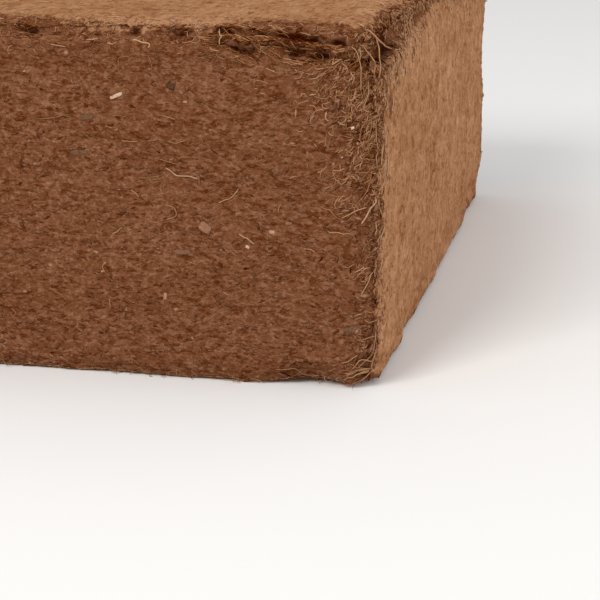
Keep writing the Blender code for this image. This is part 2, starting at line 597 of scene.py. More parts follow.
class Recipe:
    """The nodes of one material, added and joined by short calls."""

    # How uneven the outlines of flakes are, and the scale and detail of the noise that bends them
    flake_raggedness = (0.8, 0.8, 0.8)
    flake_bend = {"Scale": 1.2, "Detail": 2.0}

    # Where a strand is full and where it ends, as shares of its width
    strand_core = 0.1
    strand_end = 0.35

    # The noise that hides parts of strands: its pitch as a share of theirs, its shift from theirs,
    # its level where nothing and where all is covered, and how fast a strand fades out
    gap_pitch = 1.1
    gap_shift = 7.3
    bare_level = 0.62
    full_level = 0.38
    gap_fade = 0.05

    def __init__(self, name: str) -> None:
        """Starts a material with a plain shader.

        Args:
            name: name of the material.
        """
        self.material = bpy.data.materials.new(name)
        self.material.use_nodes = True
        self.tree = self.material.node_tree
        self.shader = self.tree.nodes["Principled BSDF"]
        self.place = self.node("ShaderNodeTexCoord").outputs["Object"]

    def node(self, kind: str, inputs: dict | None = None, **settings: object) -> bpy.types.Node:
        """Adds a node.

        Args:
            kind: Blender's name for the node type.
            inputs: for each input, by name or number, a value or the socket to join to it.
            settings: the node's own settings.

        Returns:
            The new node.
        """
        made = self.tree.nodes.new(kind)
        for name, value in settings.items():
            setattr(made, name, value)
        for name, value in (inputs or {}).items():
            if isinstance(value, Socket):
                self.tree.links.new(value, made.inputs[name])
            else:
                made.inputs[name].default_value = value
        return made

    def lean(self, angle: float) -> None:
        """Makes what runs along Y in the patterns to come slope down towards the back by an angle."""
        inputs = {"Vector": self.place, "Rotation": (angle, 0.0, 0.0)}
        self.place = self.node("ShaderNodeMapping", inputs).outputs[0]

    def stretched(self, pitch: Triple, shift: float = 0.0) -> Socket:
        """Counts object coordinates in steps.

        Args:
            pitch: size of a step along X, Y and Z.
            shift: how far the pattern is moved, in steps.

        Returns:
            The socket with the coordinates.
        """
        inputs = {"Vector": self.place, "Scale": tuple(1.0 / step for step in pitch)}
        inputs["Location"] = (shift, -2.0 * shift, 3.0 * shift)
        return self.node("ShaderNodeMapping", inputs).outputs[0]

    def speckle(self, layers: Speckle) -> Socket:
        """Adds layered noise.

        Args:
            layers: what it is like.

        Returns:
            The socket with its value, mostly from 0.3 to 0.7.
        """
        inputs = {"Vector": self.stretched(layers.pitch, layers.shift), "Scale": 1.0}
        inputs |= {"Detail": layers.detail, "Roughness": layers.rough}
        return self.node("ShaderNodeTexNoise", inputs).outputs[0]

    def flakes(self, pitch: Triple) -> Socket:
        """Flakes packed side by side.

        Args:
            pitch: size of a flake along X, Y and Z.

        Returns:
            The socket with a random value for each flake, from 0 to 1.
        """
        place = self.stretched(pitch)
        push = self.node("ShaderNodeTexNoise", {"Vector": place, **self.flake_bend}).outputs["Color"]
        inputs = {0: push, 1: self.flake_raggedness, 2: place}
        place = self.node("ShaderNodeVectorMath", inputs, operation="MULTIPLY_ADD").outputs[0]
        whole = self.node("ShaderNodeTexVoronoi", {"Vector": place, "Scale": 1.0}).outputs["Color"]
        return self.node("ShaderNodeSeparateColor", {0: whole}).outputs[0]

    def attribute(self, name: str) -> Socket:
        """The value that the mesh holds under a name."""
        return self.node("ShaderNodeAttribute", attribute_name=name).outputs["Fac"]

    def sum(self, start: float, *terms: tuple[float, Socket]) -> Socket:
        """Adds weighted values to a start.

        Args:
            start: the plain number to start from.
            terms: pairs of a weight and a socket.

        Returns:
            The socket with the sum.
        """
        total: Socket | float = start
        for weight, value in terms:
            inputs = {0: value, 1: weight, 2: total}
            total = self.node("ShaderNodeMath", inputs, operation="MULTIPLY_ADD").outputs[0]
        return total

    def centred(self, *terms: tuple[float, Socket]) -> Socket:
        """Adds up the departures of values from 0.5, each times its weight, round 0.5."""
        return self.sum(0.5 - 0.5 * sum(weight for weight, _ in terms), *terms)

    def between(self, value: Socket, low: float, high: float) -> Socket:
        """Goes smoothly from 0 to 1 as the value goes from low to high, which may be the lesser."""
        inputs = {"Value": value, "From Min": low, "From Max": high}
        return self.node("ShaderNodeMapRange", inputs, interpolation_type="SMOOTHSTEP").outputs[0]

    def frayed(self, value: Socket, layers: Speckle) -> Socket:
        """Makes a value uneven by layered noise, without changing its average."""
        return self.sum(-0.5 * layers.weight, (1.0, value), (layers.weight, self.speckle(layers)))

    def strands(self, lines: Strands) -> Socket:
        """Thin wandering lines.

        Args:
            lines: how they run.

        Returns:
            The socket with 1 on a line and 0 off it.
        """
        offset = self.sum(-0.5, (1.0, self.speckle(Speckle(1.0, lines.pitch, 2.0, 0.5, lines.shift))))
        away = self.node("ShaderNodeMath", {0: offset}, operation="ABSOLUTE").outputs[0]
        line = self.between(away, self.strand_end * lines.width, self.strand_core * lines.width)
        pitch = tuple(self.gap_pitch * step for step in lines.pitch)
        where = self.speckle(Speckle(1.0, pitch, 1.0, 0.5, lines.shift + self.gap_shift))
        level = self.bare_level - (self.bare_level - self.full_level) * lines.cover
        shown = self.between(where, level, level + self.gap_fade)
        return self.node("ShaderNodeMath", {0: line, 1: shown}, operation="MULTIPLY").outputs[0]

    def weighted(self, parts: Iterable[Speckle | Strands]) -> list[tuple[float, Socket]]:
        """Adds noises and lines.

        Args:
            parts: the noises and lines.

        Returns:
            For each of them, its weight and the socket with its value.
        """
        kinds = {Speckle: self.speckle, Strands: self.strands}
        return [(part.weight, kinds[type(part)](part)) for part in parts]

    def ramp(self, value: Socket, stops: Stops) -> Socket:
        """Colours a value.

        Args:
            value: the value to colour.
            stops: pairs of a position and a colour as a screen shows it.

        Returns:
            The socket with the colour.
        """
        made = self.node("ShaderNodeValToRGB", {"Fac": value})
        elements = made.color_ramp.elements
        while len(elements) < len(stops):
            elements.new(0.5)
        for element, (position, colour) in zip(elements, stops):
            element.position = position
            element.color = linear(colour)
        return made.outputs["Color"]

    def mix(self, share: Socket, first: Socket | tuple, second: Socket | tuple) -> Socket:
        """Mixes two colours.

        Args:
            share: share of the second colour.
            first: the first colour.
            second: the second colour.

        Returns:
            The socket with the mixed colour.
        """
        return self.node("ShaderNodeMix", {0: share, 6: first, 7: second}, data_type="RGBA").outputs[2]

    def mix_values(self, share: Socket, first: Socket, second: Socket) -> Socket:
        """Mixes two values, with the given share of the second."""
        return self.node("ShaderNodeMix", {0: share, 2: first, 3: second}).outputs[0]

    def emboss(self, height: Socket, relief: float) -> None:
        """Raises the surface by a value, a full step of which stands as high as the relief in metres."""
        bump = self.node("ShaderNodeBump", {"Height": height, "Distance": relief, "Strength": 1.0})
        self.tree.links.new(bump.outputs[0], self.shader.inputs["Normal"])

    def finish(self, colour: Socket, rough: float, shine: float) -> bpy.types.Material:
        """Joins the colour to the shader and sets its gloss.

        Args:
            colour: socket with the colour.
            rough: roughness of the surface.
            shine: how strongly it mirrors light, from 0 to 1.

        Returns:
            The finished material.
        """
        self.tree.links.new(colour, self.shader.inputs["Base Color"])
        self.shader.inputs["Roughness"].default_value = rough
        self.shader.inputs["Specular IOR Level"].default_value = shine
        return self.material


PITH_TONES: Stops = (
    (0.0, (59, 17, 1)),
    (0.25, (90, 45, 19)),
    (0.5, (119, 75, 49)),
    (0.75, (148, 105, 79)),
    (1.0, (180, 138, 111)),
)


@dataclass(frozen=True)
class PressedCoirFinish:
    """Finish of the block: dark felted pith, with a pale combed skin where the mould rubbed it."""

    name: str = "pressed_coir"
    pith: Stops = PITH_TONES
    skin: Stops = (
        (0.0, (104, 57, 28)),
        (0.25, (142, 94, 60)),
        (0.5, (166, 118, 83)),
        (0.75, (186, 140, 105)),
        (1.0, (206, 163, 130)),
    )
    # Colour of the painted shade in pits, splits, torn holes and gaps between clods
    hollow: Triple = (52, 14, 1)
    rough: float = 0.95
    shine: float = 0.0
    relief: float = 0.0006

    # Bare pith: packed flakes, dust and blotches, then level and slanting fibres, and painted shadow under
    # ledges
    flake_weight: float = 0.10
    flake_size: Triple = (0.0022, 0.0016, 0.0013)
    pith_noises: tuple[Speckle, ...] = (
        Speckle(0.64, (0.0013, 0.0012, 0.0010), 4.0, 0.72),
        Speckle(0.17, (0.022, 0.022, 0.014), 3.0, 0.55),
    )
    pith_strands: tuple[Strands, ...] = (
        Strands(0.11, (0.0036, 0.0020, 0.0015), 0.30, 0.80, 3.0),
        Strands(0.11, (0.0023, 0.0020, 0.0021), 0.28, 0.60, 11.0),
        Strands(-0.18, (0.0050, 0.0024, 0.0020), 0.24, 0.52, 41.0),
    )
    pith_shade: float = -0.05

    # Skin: grain along Y, then rub marks, felt, mottles and clouds that lean, then pale and dark fibres.
    # The lean is how steeply they slope down towards the back, in radians.
    skin_grain: Speckle = Speckle(0.30, (0.0010, 0.0160, 0.0200), 3.0, 0.55, 37.0)
    skin_lean: float = 0.19
    skin_noises: tuple[Speckle, ...] = (
        Speckle(0.54, (0.0008, 0.0046, 0.0009), 4.0, 0.64),
        Speckle(0.50, (0.0018, 0.0084, 0.0026), 4.0, 0.62, 13.0),
        Speckle(0.42, (0.0070, 0.0220, 0.0090), 4.0, 0.6),
        Speckle(0.32, (0.045, 0.045, 0.045), 3.0, 0.5),
    )
    skin_strands: tuple[Strands, ...] = (
        Strands(0.12, (0.0030, 0.0072, 0.0044), 0.26, 0.55, 5.0),
        Strands(-0.22, (0.0034, 0.0072, 0.0044), 0.24, 0.50, 17.0),
    )

    # What frays the border of the skin and of the painted shade in the hollows, and the values between which
    # each begins and is full
    fray: Speckle = Speckle(0.9, (0.0028, 0.0070, 0.0026), 5.0, 0.70)
    skin_edge: Pair = (0.44, 0.56)
    shade_fray: Speckle = Speckle(0.9, (0.0026, 0.0044, 0.0016), 3.0, 0.65, 23.0)
    hollow_edge: Pair = (0.25, 0.90)

    # Height of the skin's relief beside the pith's, and how much of its tone shows in it
    skin_height: float = 0.35
    skin_relief: float = 0.4

    def pith_value(self, recipe: Recipe) -> Socket:
        """Tone of the bare pith.

        Args:
            recipe: the nodes to add it to.

        Returns:
            The socket with packed flakes and dust, short felted fibres, and painted shadow under the ledges
            between layers.
        """
        flakes = (self.flake_weight, recipe.flakes(self.flake_size))
        base = recipe.centred(flakes, *recipe.weighted(self.pith_noises))
        return recipe.sum(self.pith_shade, (1.0, base), *recipe.weighted(self.pith_strands))

    def skin_value(self, recipe: Recipe) -> Socket:
        """Tone of the skin.

        Args:
            recipe: the nodes to add it to.

        Returns:
            The socket with fine felt, rub marks along Y, mottles, and pale and dark fibres.
        """
        grain = recipe.weighted([self.skin_grain])
        recipe.lean(self.skin_lean)
        base = recipe.centred(*recipe.weighted(self.skin_noises), *grain)
        return recipe.sum(0.0, (1.0, base), *recipe.weighted(self.skin_strands))

    def make(self) -> bpy.types.Material:
        """Makes the material.

        Returns:
            The finished material, which reads the mesh's skin and hollow values, and paints shade into the
            hollows.
        """
        recipe = Recipe(self.name)
        pith, skin = self.pith_value(recipe), self.skin_value(recipe)
        covered = recipe.between(recipe.frayed(recipe.attribute("skin"), self.fray), *self.skin_edge)
        colour = recipe.mix(covered, recipe.ramp(pith, self.pith), recipe.ramp(skin, self.skin))
        # Painted shade: the hollows are darkened towards the hollow colour
        dark = recipe.between(recipe.frayed(recipe.attribute("hollow"), self.shade_fray), *self.hollow_edge)
        colour = recipe.mix(dark, colour, linear(self.hollow))
        raised = recipe.sum(self.skin_height, (self.skin_relief, skin))
        recipe.emboss(recipe.mix_values(covered, pith, raised), self.relief)
        return recipe.finish(colour, self.rough, self.shine)


@dataclass(frozen=True)
class LooseFinish:
    """Finish of what lies loose on the block, from dark to pale by each fibre's or grain's own tone."""

    name: str
    tones: Stops
    patches: Speckle
    relief: float
    rough: float
    shine: float = 0.0

    def make(self) -> bpy.types.Material:
        """Makes the material.

        Returns:
            The finished material, which reads the mesh's tone value.
        """
        recipe = Recipe(self.name)
        tone = recipe.frayed(recipe.attribute("tone"), self.patches)
        recipe.emboss(recipe.speckle(self.patches), self.relief)
        return recipe.finish(recipe.ramp(tone, self.tones), self.rough, self.shine)


FIBRE_FINISH = LooseFinish(
    name="coir_fibre",
    tones=(
        (0.0, (66, 20, 1)),
        (0.30, (115, 64, 29)),
        (0.55, (154, 107, 71)),
        (0.80, (188, 145, 109)),
        (1.0, (214, 178, 142)),
    ),
    patches=Speckle(0.50, (0.0018, 0.0018, 0.0018), 3.0, 0.65),
    relief=0.00008,
    rough=0.80,
)

GRAIN_FINISH = LooseFinish(
    name="coir_pith",
    tones=PITH_TONES,
    patches=Speckle(0.45, (0.0010, 0.0009, 0.0008), 3.0, 0.65),
    relief=0.0003,
    rough=0.95,
)

CHIP_FINISH = LooseFinish(
    name="husk_chip",
    tones=(
        (0.0, (58, 26, 12)),
        (0.25, (104, 76, 54)),
        (0.5, (142, 99, 76)),
        (0.75, (178, 138, 110)),
        (1.0, (226, 200, 178)),
    ),
    patches=Speckle(0.45, (0.0009, 0.0009, 0.0009), 3.0, 0.65),
    relief=0.0003,
    rough=0.9,
    shine=0.03,
)


@dataclass(frozen=True)
class FloorFinish:
    """Plain pale floor."""

    name: str = "floor"
    colour: Triple = (250, 249, 248)
    rough: float = 0.85
    shine: float = 0.2
    clouds: Speckle = Speckle(1.0, (0.4, 0.4, 0.4))
    unevenness: int = 3

    def make(self) -> bpy.types.Material:
        """Makes the material, with a trace of unevenness in its colour.

        Returns:
            The finished material.
        """
        recipe = Recipe(self.name)
        stops = ((0.0, tuple(part - self.unevenness for part in self.colour)), (1.0, self.colour))
        return recipe.finish(recipe.ramp(recipe.speckle(self.clouds), stops), self.rough, self.shine)


def mesh_of(name: str, verts: np.ndarray, groups: list[np.ndarray]) -> bpy.types.Mesh:
    """Makes a mesh from arrays.

    Args:
        name: name of the mesh.
        verts: its points, one a row.
        groups: its faces, as arrays of rows of point numbers, each array with its own row length.

    Returns:
        The mesh.
    """
    mesh = bpy.data.meshes.new(name)
    mesh.vertices.add(len(verts))
    mesh.vertices.foreach_set("co", verts.astype(np.float32).ravel())
    corners = np.concatenate([group.ravel() for group in groups])
    sizes = np.concatenate([np.full(len(group), group.shape[1]) for group in groups])
    mesh.loops.add(len(corners))
    mesh.loops.foreach_set("vertex_index", corners.astype(np.int32))
    mesh.polygons.add(len(sizes))
    starts = np.concatenate([[0], np.cumsum(sizes)[:-1]])
    mesh.polygons.foreach_set("loop_start", starts.astype(np.int32))
    mesh.update(calc_edges=True)
    mesh.validate()
    return mesh


def add_values(mesh: bpy.types.Mesh, name: str, values: np.ndarray) -> None:
    """Stores one value for each point of a mesh under a name."""
    attribute = mesh.attributes.new(name, "FLOAT", "POINT")
    attribute.data.foreach_set("value", np.ascontiguousarray(values, np.float32))


def add_object(name: str, mesh: bpy.types.Mesh, finish: bpy.types.Material) -> bpy.types.Object:
    """Puts a mesh in the scene.

    Args:
        name: name of the object.
        mesh: its mesh.
        finish: its material.

    Returns:
        The new object, at the origin.
    """
    mesh.materials.append(finish)
    made = bpy.data.objects.new(name, mesh)
    bpy.context.scene.collection.objects.link(made)
    return made


@dataclass
class PressedBlock:
    """The block itself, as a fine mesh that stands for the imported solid."""

    form: WornForm
    cuts: tuple[int, int, int] = (196, 78, 84)
    crowding: Triple = (0.42, 0.68, 0.36)
    finish: PressedCoirFinish = field(default_factory=PressedCoirFinish)

    def span(self, edge: bmesh.types.BMEdge, axis: int) -> float:
        """How far an edge goes along an axis."""
        return abs(edge.verts[0].co[axis] - edge.verts[1].co[axis])

    def gridded_box(self) -> bpy.types.Mesh:
        """Makes a closed box cut into a grid.

        Returns:
            A mesh from -1 to 1 along each axis.
        """
        box = bmesh.new()
        bmesh.ops.create_cube(box, size=2.0)
        for axis, cuts in enumerate(self.cuts):
            along = [edge for edge in box.edges if self.span(edge, axis) > 1.0]
            bmesh.ops.subdivide_edges(box, edges=along, cuts=cuts - 1, use_grid_fill=True)
        mesh = bpy.data.meshes.new("coir_block")
        box.to_mesh(mesh)
        box.free()
        return mesh

    def build(self) -> bpy.types.Object:
        """Builds and dresses the block.

        Returns:
            The block's object.
        """
        mesh = self.gridded_box()
        shares = np.empty(len(mesh.vertices) * 3, np.float32)
        mesh.vertices.foreach_get("co", shares)
        shares = shares.reshape(-1, 3).astype(float)
        crowded = shares + np.asarray(self.crowding) * np.sin(np.pi * shares) / np.pi
        places = crowded * np.asarray(self.form.half)
        points = self.form.worn(places) + (0.0, 0.0, self.form.half[2])
        mesh.vertices.foreach_set("co", points.astype(np.float32).ravel())
        add_values(mesh, "skin", self.form.skin(places))
        add_values(mesh, "hollow", self.form.hollow(places))
        mesh.shade_smooth()
        mesh.update()
        return add_object("coir_block", mesh, self.finish.make())


class Bed(Enum):
    """Where a layer lies on the block."""

    PRESS_FACES = "the front and the back"
    PRESS_BORDERS = "the front and the back, beside their upright rims"
    MOULD_FACES = "the top and the two sides"
    LEVEL_RIMS = "the rims between press faces and top or base"
    UPRIGHT_RIMS = "the rims between press faces and sides"
    SIDE_EDGES = "the edges between sides and top or base"
    TORN_SIDES = "the sides, beside the upper ends of their upright rims"
    SPLITS = "the splits along the layers"

# The two axes square to the edges of a bed
EDGE_AXES = {Bed.LEVEL_RIMS: (2, 1), Bed.UPRIGHT_RIMS: (0, 1), Bed.SIDE_EDGES: (0, 2)}

# The way fibres lie on a bed, which is laid flat on whichever face they are on
LAY = {
    Bed.MOULD_FACES: (1.0, 0.0, 1.0),
    Bed.LEVEL_RIMS: (1.0, 0.0, 0.0),
    Bed.UPRIGHT_RIMS: (0.0, 0.0, 1.0),
    Bed.SIDE_EDGES: (1.0, 0.0, 1.0),
    Bed.TORN_SIDES: (0.0, 0.0, 1.0),
}


@dataclass(frozen=True, kw_only=True)
class Layer:
    """What all layers have: a name, a bed, a count, and how they gather near edges, in clumps and up high.

    The side shade is painted shade: how much darker the sides of each fibre or grain are coloured than its
    ridge.
    """

    name: str
    bed: Bed
    count: int
    seed: int
    reach: float = 0.0
    clumping: float = 0.0
    top_share: float = 0.0
    side_shade: float = 0.0


@dataclass
class Ground:
    """The block's surface, on which fibres and grains are laid, and where it is looked at from."""

    block: bpy.types.Object
    form: WornForm
    eye: Triple
    tree: BVHTree = field(init=False)

    # How many places are drawn for each that is kept, and the pitch of the clumps that are kept
    spare: int = 3
    clump_pitch: float = 0.011

    # How strongly loose things keep out of the corner hole, for each metre of its depth
    hole_avoidance: float = 150.0

    # How much paler loose things are on the skin, and how much painted shade darkens them in a hollow
    skin_lift: float = 0.32
    hollow_drop: float = 0.45

    # Values of the skin between which its frayed border lies, and the share of the painted side shade that
    # is lost inside it, because less gets between the fibres there
    skin_edge: Pair = (0.38, 0.62)
    skin_ease: float = 0.75

    # How far down a torn side reaches, as a share of how far it reaches from its upright rim
    torn_side_height: float = 0.22

    # How far loose things are strewn past the ends of a split, as a share of its length
    overrun: float = 0.1

    # How fibres on a press face turn from level, in radians: leaning beside an upright rim, the more the
    # nearer, and in swirls. The lean varies too, above the least share of it.
    lean: float = 0.85
    lean_reach: float = 0.038
    lean_pitch: float = 0.030
    least_lean: float = 0.35
    swirl: float = 1.1
    swirl_pitch: float = 0.021

    def __post_init__(self) -> None:
        """Reads the block's mesh into a search tree."""
        mesh = self.block.data
        corners = [vert.co for vert in mesh.vertices]
        self.tree = BVHTree.FromPolygons(corners, [tuple(face.vertices) for face in mesh.polygons])

    def nearest(self, point: Vector) -> tuple[Vector, Vector]:
        """The surface's point nearest to a point, and its outward direction there."""
        spot, normal, _, _ = self.tree.find_nearest(point)
        return spot, normal

    def behind(self, point: np.ndarray) -> np.ndarray:
        """Where the surface shows behind a point from the camera, or its nearest point if it doesn't.

        Args:
            point: a point before the surface.

        Returns:
            The point on the surface.
        """
        eye = Vector(self.eye)
        spot = self.tree.ray_cast(eye, Vector(point) - eye)[0]
        return np.array(self.nearest(Vector(point))[0] if spot is None else spot)

    def settle(self, points: np.ndarray) -> tuple[np.ndarray, np.ndarray]:
        """Moves points onto the surface.

        Args:
            points: points near the surface, one a row.

        Returns:
            The points on the surface and its outward directions there.
        """
        found = [self.nearest(Vector(point)) for point in points]
        return np.array([spot[:] for spot, _ in found]), np.array([normal[:] for _, normal in found])

    def strew(self, layer: Layer, rng: np.random.Generator) -> tuple[np.ndarray, np.ndarray]:
        """Picks places for a layer.

        Args:
            layer: the layer.
            rng: the random source.

        Returns:
            Points on the sharp box round the block, and the way that fibres lie there.
        """
        count = layer.count * self.spare
        half = np.asarray(self.form.half)
        places = rng.uniform(-1.0, 1.0, (count, 3)) * half
        signs = np.where(rng.random((count, 3)) < 0.5, 1.0, -1.0)
        if layer.bed in EDGE_AXES:
            self.to_edges(places, signs, layer, rng)
        elif layer.bed is Bed.MOULD_FACES:
            share_of_top = half[0] / (half[0] + 2.0 * half[2])
            on_top = rng.random(count) < share_of_top
            places[on_top, 2] = half[2]
            places[~on_top, 0] = (signs[:, 0] * half[0])[~on_top]
        elif layer.bed is Bed.SPLITS:
            self.to_splits(places, layer, rng)
        elif layer.bed is Bed.TORN_SIDES:
            away = np.abs(rng.normal(0.0, layer.reach, (count, 2))) * (1.0, self.torn_side_height)
            places[:, 0] = signs[:, 0] * half[0]
            places[:, 1] = signs[:, 1] * (half[1] - away[:, 0])
            places[:, 2] = half[2] - away[:, 1]
        else:
            places[:, 1] = signs[:, 1] * half[1]
            if layer.bed is Bed.PRESS_BORDERS:
                away = np.abs(rng.normal(0.0, layer.reach, count))
                places[:, 0] = signs[:, 0] * (half[0] - away)
        clumps = roughly(places, self.clump_pitch, Pattern.CLUMPS)
        wanted = layer.clumping * clumps + rng.random(count)
        wanted += layer.top_share * self.form.height(places)
        wanted -= self.hole_avoidance * self.form.hole_depth(places)
        places = places[np.sort(np.argsort(-wanted, kind="stable")[: layer.count])]
        return places + (0.0, 0.0, half[2]), self.lay(layer.bed, places)

    def tones(
        self, points: np.ndarray, tones: np.ndarray, side_shade: float
    ) -> tuple[np.ndarray, np.ndarray]:
        """Fits the tones of loose things to the skin that they lie on, and darkens them with painted shade
        in a hollow.

        Args:
            points: points on the sharp box round the block, one a row.
            tones: the tone that the thing at each point has on bare pith.
            side_shade: how much darker painted shade makes its sides than its ridge on bare pith.

        Returns:
            The tone and the painted side shade at each point.
        """
        places = points - (0.0, 0.0, self.form.half[2])
        bare, whole = self.skin_edge
        covered = np.clip((self.form.skin(places) - bare) / (whole - bare), 0.0, 1.0)
        # Painted shade: loose things lying in a hollow are darkened
        shifts = self.skin_lift * covered - self.hollow_drop * self.form.hollow(places)
        return tones + shifts, side_shade * (1.0 - self.skin_ease * covered)

    def to_edges(
        self, places: np.ndarray, signs: np.ndarray, layer: Layer, rng: np.random.Generator
    ) -> None:
        """Moves places to the edges of a bed, some on one of its two faces and some on the other.

        Args:
            places: points in the sharp box, one a row, which are changed.
            signs: the end of each axis that each point goes to, as 1 or -1.
            layer: the layer, for its bed and its reach.
            rng: the random source.
        """
        away = np.abs(rng.normal(0.0, layer.reach, len(places)))
        first = rng.random(len(places)) < 0.5
        aways = (np.where(first, away, 0.0), np.where(first, 0.0, away))
        for axis, off in zip(EDGE_AXES[layer.bed], aways):
            places[:, axis] = signs[:, axis] * (self.form.half[axis] - off)

    def to_splits(self, places: np.ndarray, layer: Layer, rng: np.random.Generator) -> None:
        """Moves places to the splits, strewn about them by the reach of the layer.

        Args:
            places: points in the sharp box, one a row, which are changed.
            layer: the layer, for its reach.
            rng: the random source.
        """
        picks = rng.integers(0, len(SPLITS), len(places))
        ends = np.array([(split.start, split.end) for split in SPLITS])[picks]
        along = rng.uniform(-self.overrun, 1.0 + self.overrun, (len(places), 1))
        places[:] = ends[:, 0] + along * (ends[:, 1] - ends[:, 0]) - (0.0, 0.0, self.form.half[2])
        places[:, 2] += rng.normal(0.0, layer.reach, len(places))

    def lay(self, bed: Bed, places: np.ndarray) -> np.ndarray:
        """The way that fibres lie.

        Args:
            bed: the bed that they are on.
            places: points of the sharp box, one a row, from its middle.

        Returns:
            One direction for each point.
        """
        if bed in LAY:
            return np.tile(unit(np.array(LAY[bed])), (len(places), 1))
        near_rim = closeness(self.form.gaps(places)[:, 0], self.lean_reach)
        lean = np.sign(places[:, 0]) * self.lean * near_rim
        lean *= self.least_lean + roughly(places, self.lean_pitch, Pattern.LEAN)
        turn = lean + self.swirl * (roughly(places, self.swirl_pitch, Pattern.SWIRL) - 0.5)
        return np.stack([np.cos(turn), np.zeros(len(turn)), np.sin(turn)], axis=1)


@dataclass(frozen=True, kw_only=True)
class FibreLayer(Layer):
    """Many loose fibres: how many points each has, its size and tone, and how it lies and bends.

    The tone is the least that a fibre has on bare pith, and how far above it an average one is.
    """

    points: int
    length: Pair
    radius: Pair
    tone: Pair
    stray: float
    bend: float
    loft: float
    palest: float = 0.82
    free_ends: float = 0.0
    kinked: float = 0.3


FIBRE_LAYERS = (
    FibreLayer(
        name="press_face_fibres", bed=Bed.PRESS_FACES, count=6600, seed=11, points=5, clumping=0.8,
        length=(0.0010, 0.0060), radius=(0.00006, 0.00015), tone=(0.33, 0.11), stray=0.60, bend=0.8,
        loft=0.00010, palest=0.76, kinked=0.6,
    ),
    FibreLayer(
        name="border_fibres", bed=Bed.PRESS_BORDERS, count=1900, seed=12, points=6, reach=0.011,
        clumping=0.9, top_share=1.5, length=(0.0022, 0.0090), radius=(0.00014, 0.00036), tone=(0.62, 0.13),
        stray=0.50, bend=1.2, loft=0.00005, palest=0.84, kinked=0.45, side_shade=0.17,
    ),
    FibreLayer(
        name="torn_side_fibres", bed=Bed.TORN_SIDES, count=1300, seed=19, points=8, reach=0.045,
        clumping=0.3, length=(0.0030, 0.0090), radius=(0.00014, 0.00034), tone=(0.76, 0.10), stray=1.2,
        bend=2.4, loft=0.00010, palest=0.84, kinked=0.8, side_shade=0.42,
    ),
    FibreLayer(
        name="mould_face_fibres", bed=Bed.MOULD_FACES, count=4200, seed=13, points=5,
        length=(0.0015, 0.0070), radius=(0.00006, 0.00012), tone=(0.26, 0.14), stray=0.55, bend=0.35,
        loft=0.00004,
    ),
    FibreLayer(
        name="level_rim_fibres", bed=Bed.LEVEL_RIMS, count=2600, seed=14, points=7, reach=0.0046,
        clumping=0.7, top_share=0.9, length=(0.0022, 0.0075), radius=(0.00009, 0.00025), tone=(0.58, 0.14),
        stray=0.7, bend=1.3, loft=0.00006, palest=0.80, kinked=0.6, side_shade=0.28,
    ),
    FibreLayer(
        name="base_fringe", bed=Bed.LEVEL_RIMS, count=260, seed=18, points=8, reach=0.0020, clumping=2.0,
        top_share=-9.0, length=(0.0030, 0.0120), radius=(0.00008, 0.00016), tone=(0.30, 0.18), stray=1.0,
        bend=1.2, loft=0.0008, free_ends=1.0,
    ),
    FibreLayer(
        name="upright_rim_fibres", bed=Bed.UPRIGHT_RIMS, count=900, seed=15, points=8, reach=0.0050,
        clumping=0.6, top_share=1.6, length=(0.0030, 0.0120), radius=(0.00016, 0.00034), tone=(0.56, 0.14),
        stray=0.50, bend=1.6, loft=0.00012, palest=0.84, kinked=0.6, side_shade=0.30,
    ),
    FibreLayer(
        name="side_edge_fibres", bed=Bed.SIDE_EDGES, count=1300, seed=16, points=8, reach=0.0056,
        clumping=0.6, top_share=0.9, length=(0.0030, 0.0090), radius=(0.00013, 0.00030), tone=(0.66, 0.13),
        stray=1.6, bend=2.4, loft=0.00012, palest=0.86, free_ends=0.1, kinked=0.9, side_shade=0.26,
    ),
    FibreLayer(
        name="split_fibres", bed=Bed.SPLITS, count=700, seed=17, points=7, reach=0.0034,
        length=(0.0030, 0.0090), radius=(0.00014, 0.00040), tone=(0.46, 0.14), stray=0.12, bend=0.40,
        loft=0.0002, palest=0.76, kinked=0.5, side_shade=0.35,
    ),
)


@dataclass(frozen=True)
class LongFibre:
    """A long fibre on the front: its points along X and Z in millimetres, its radius and its tone."""

    points: tuple[Pair, ...]
    radius: float = 0.12
    tone: float = 0.60
    loft: float = 0.3
    bridging: bool = False


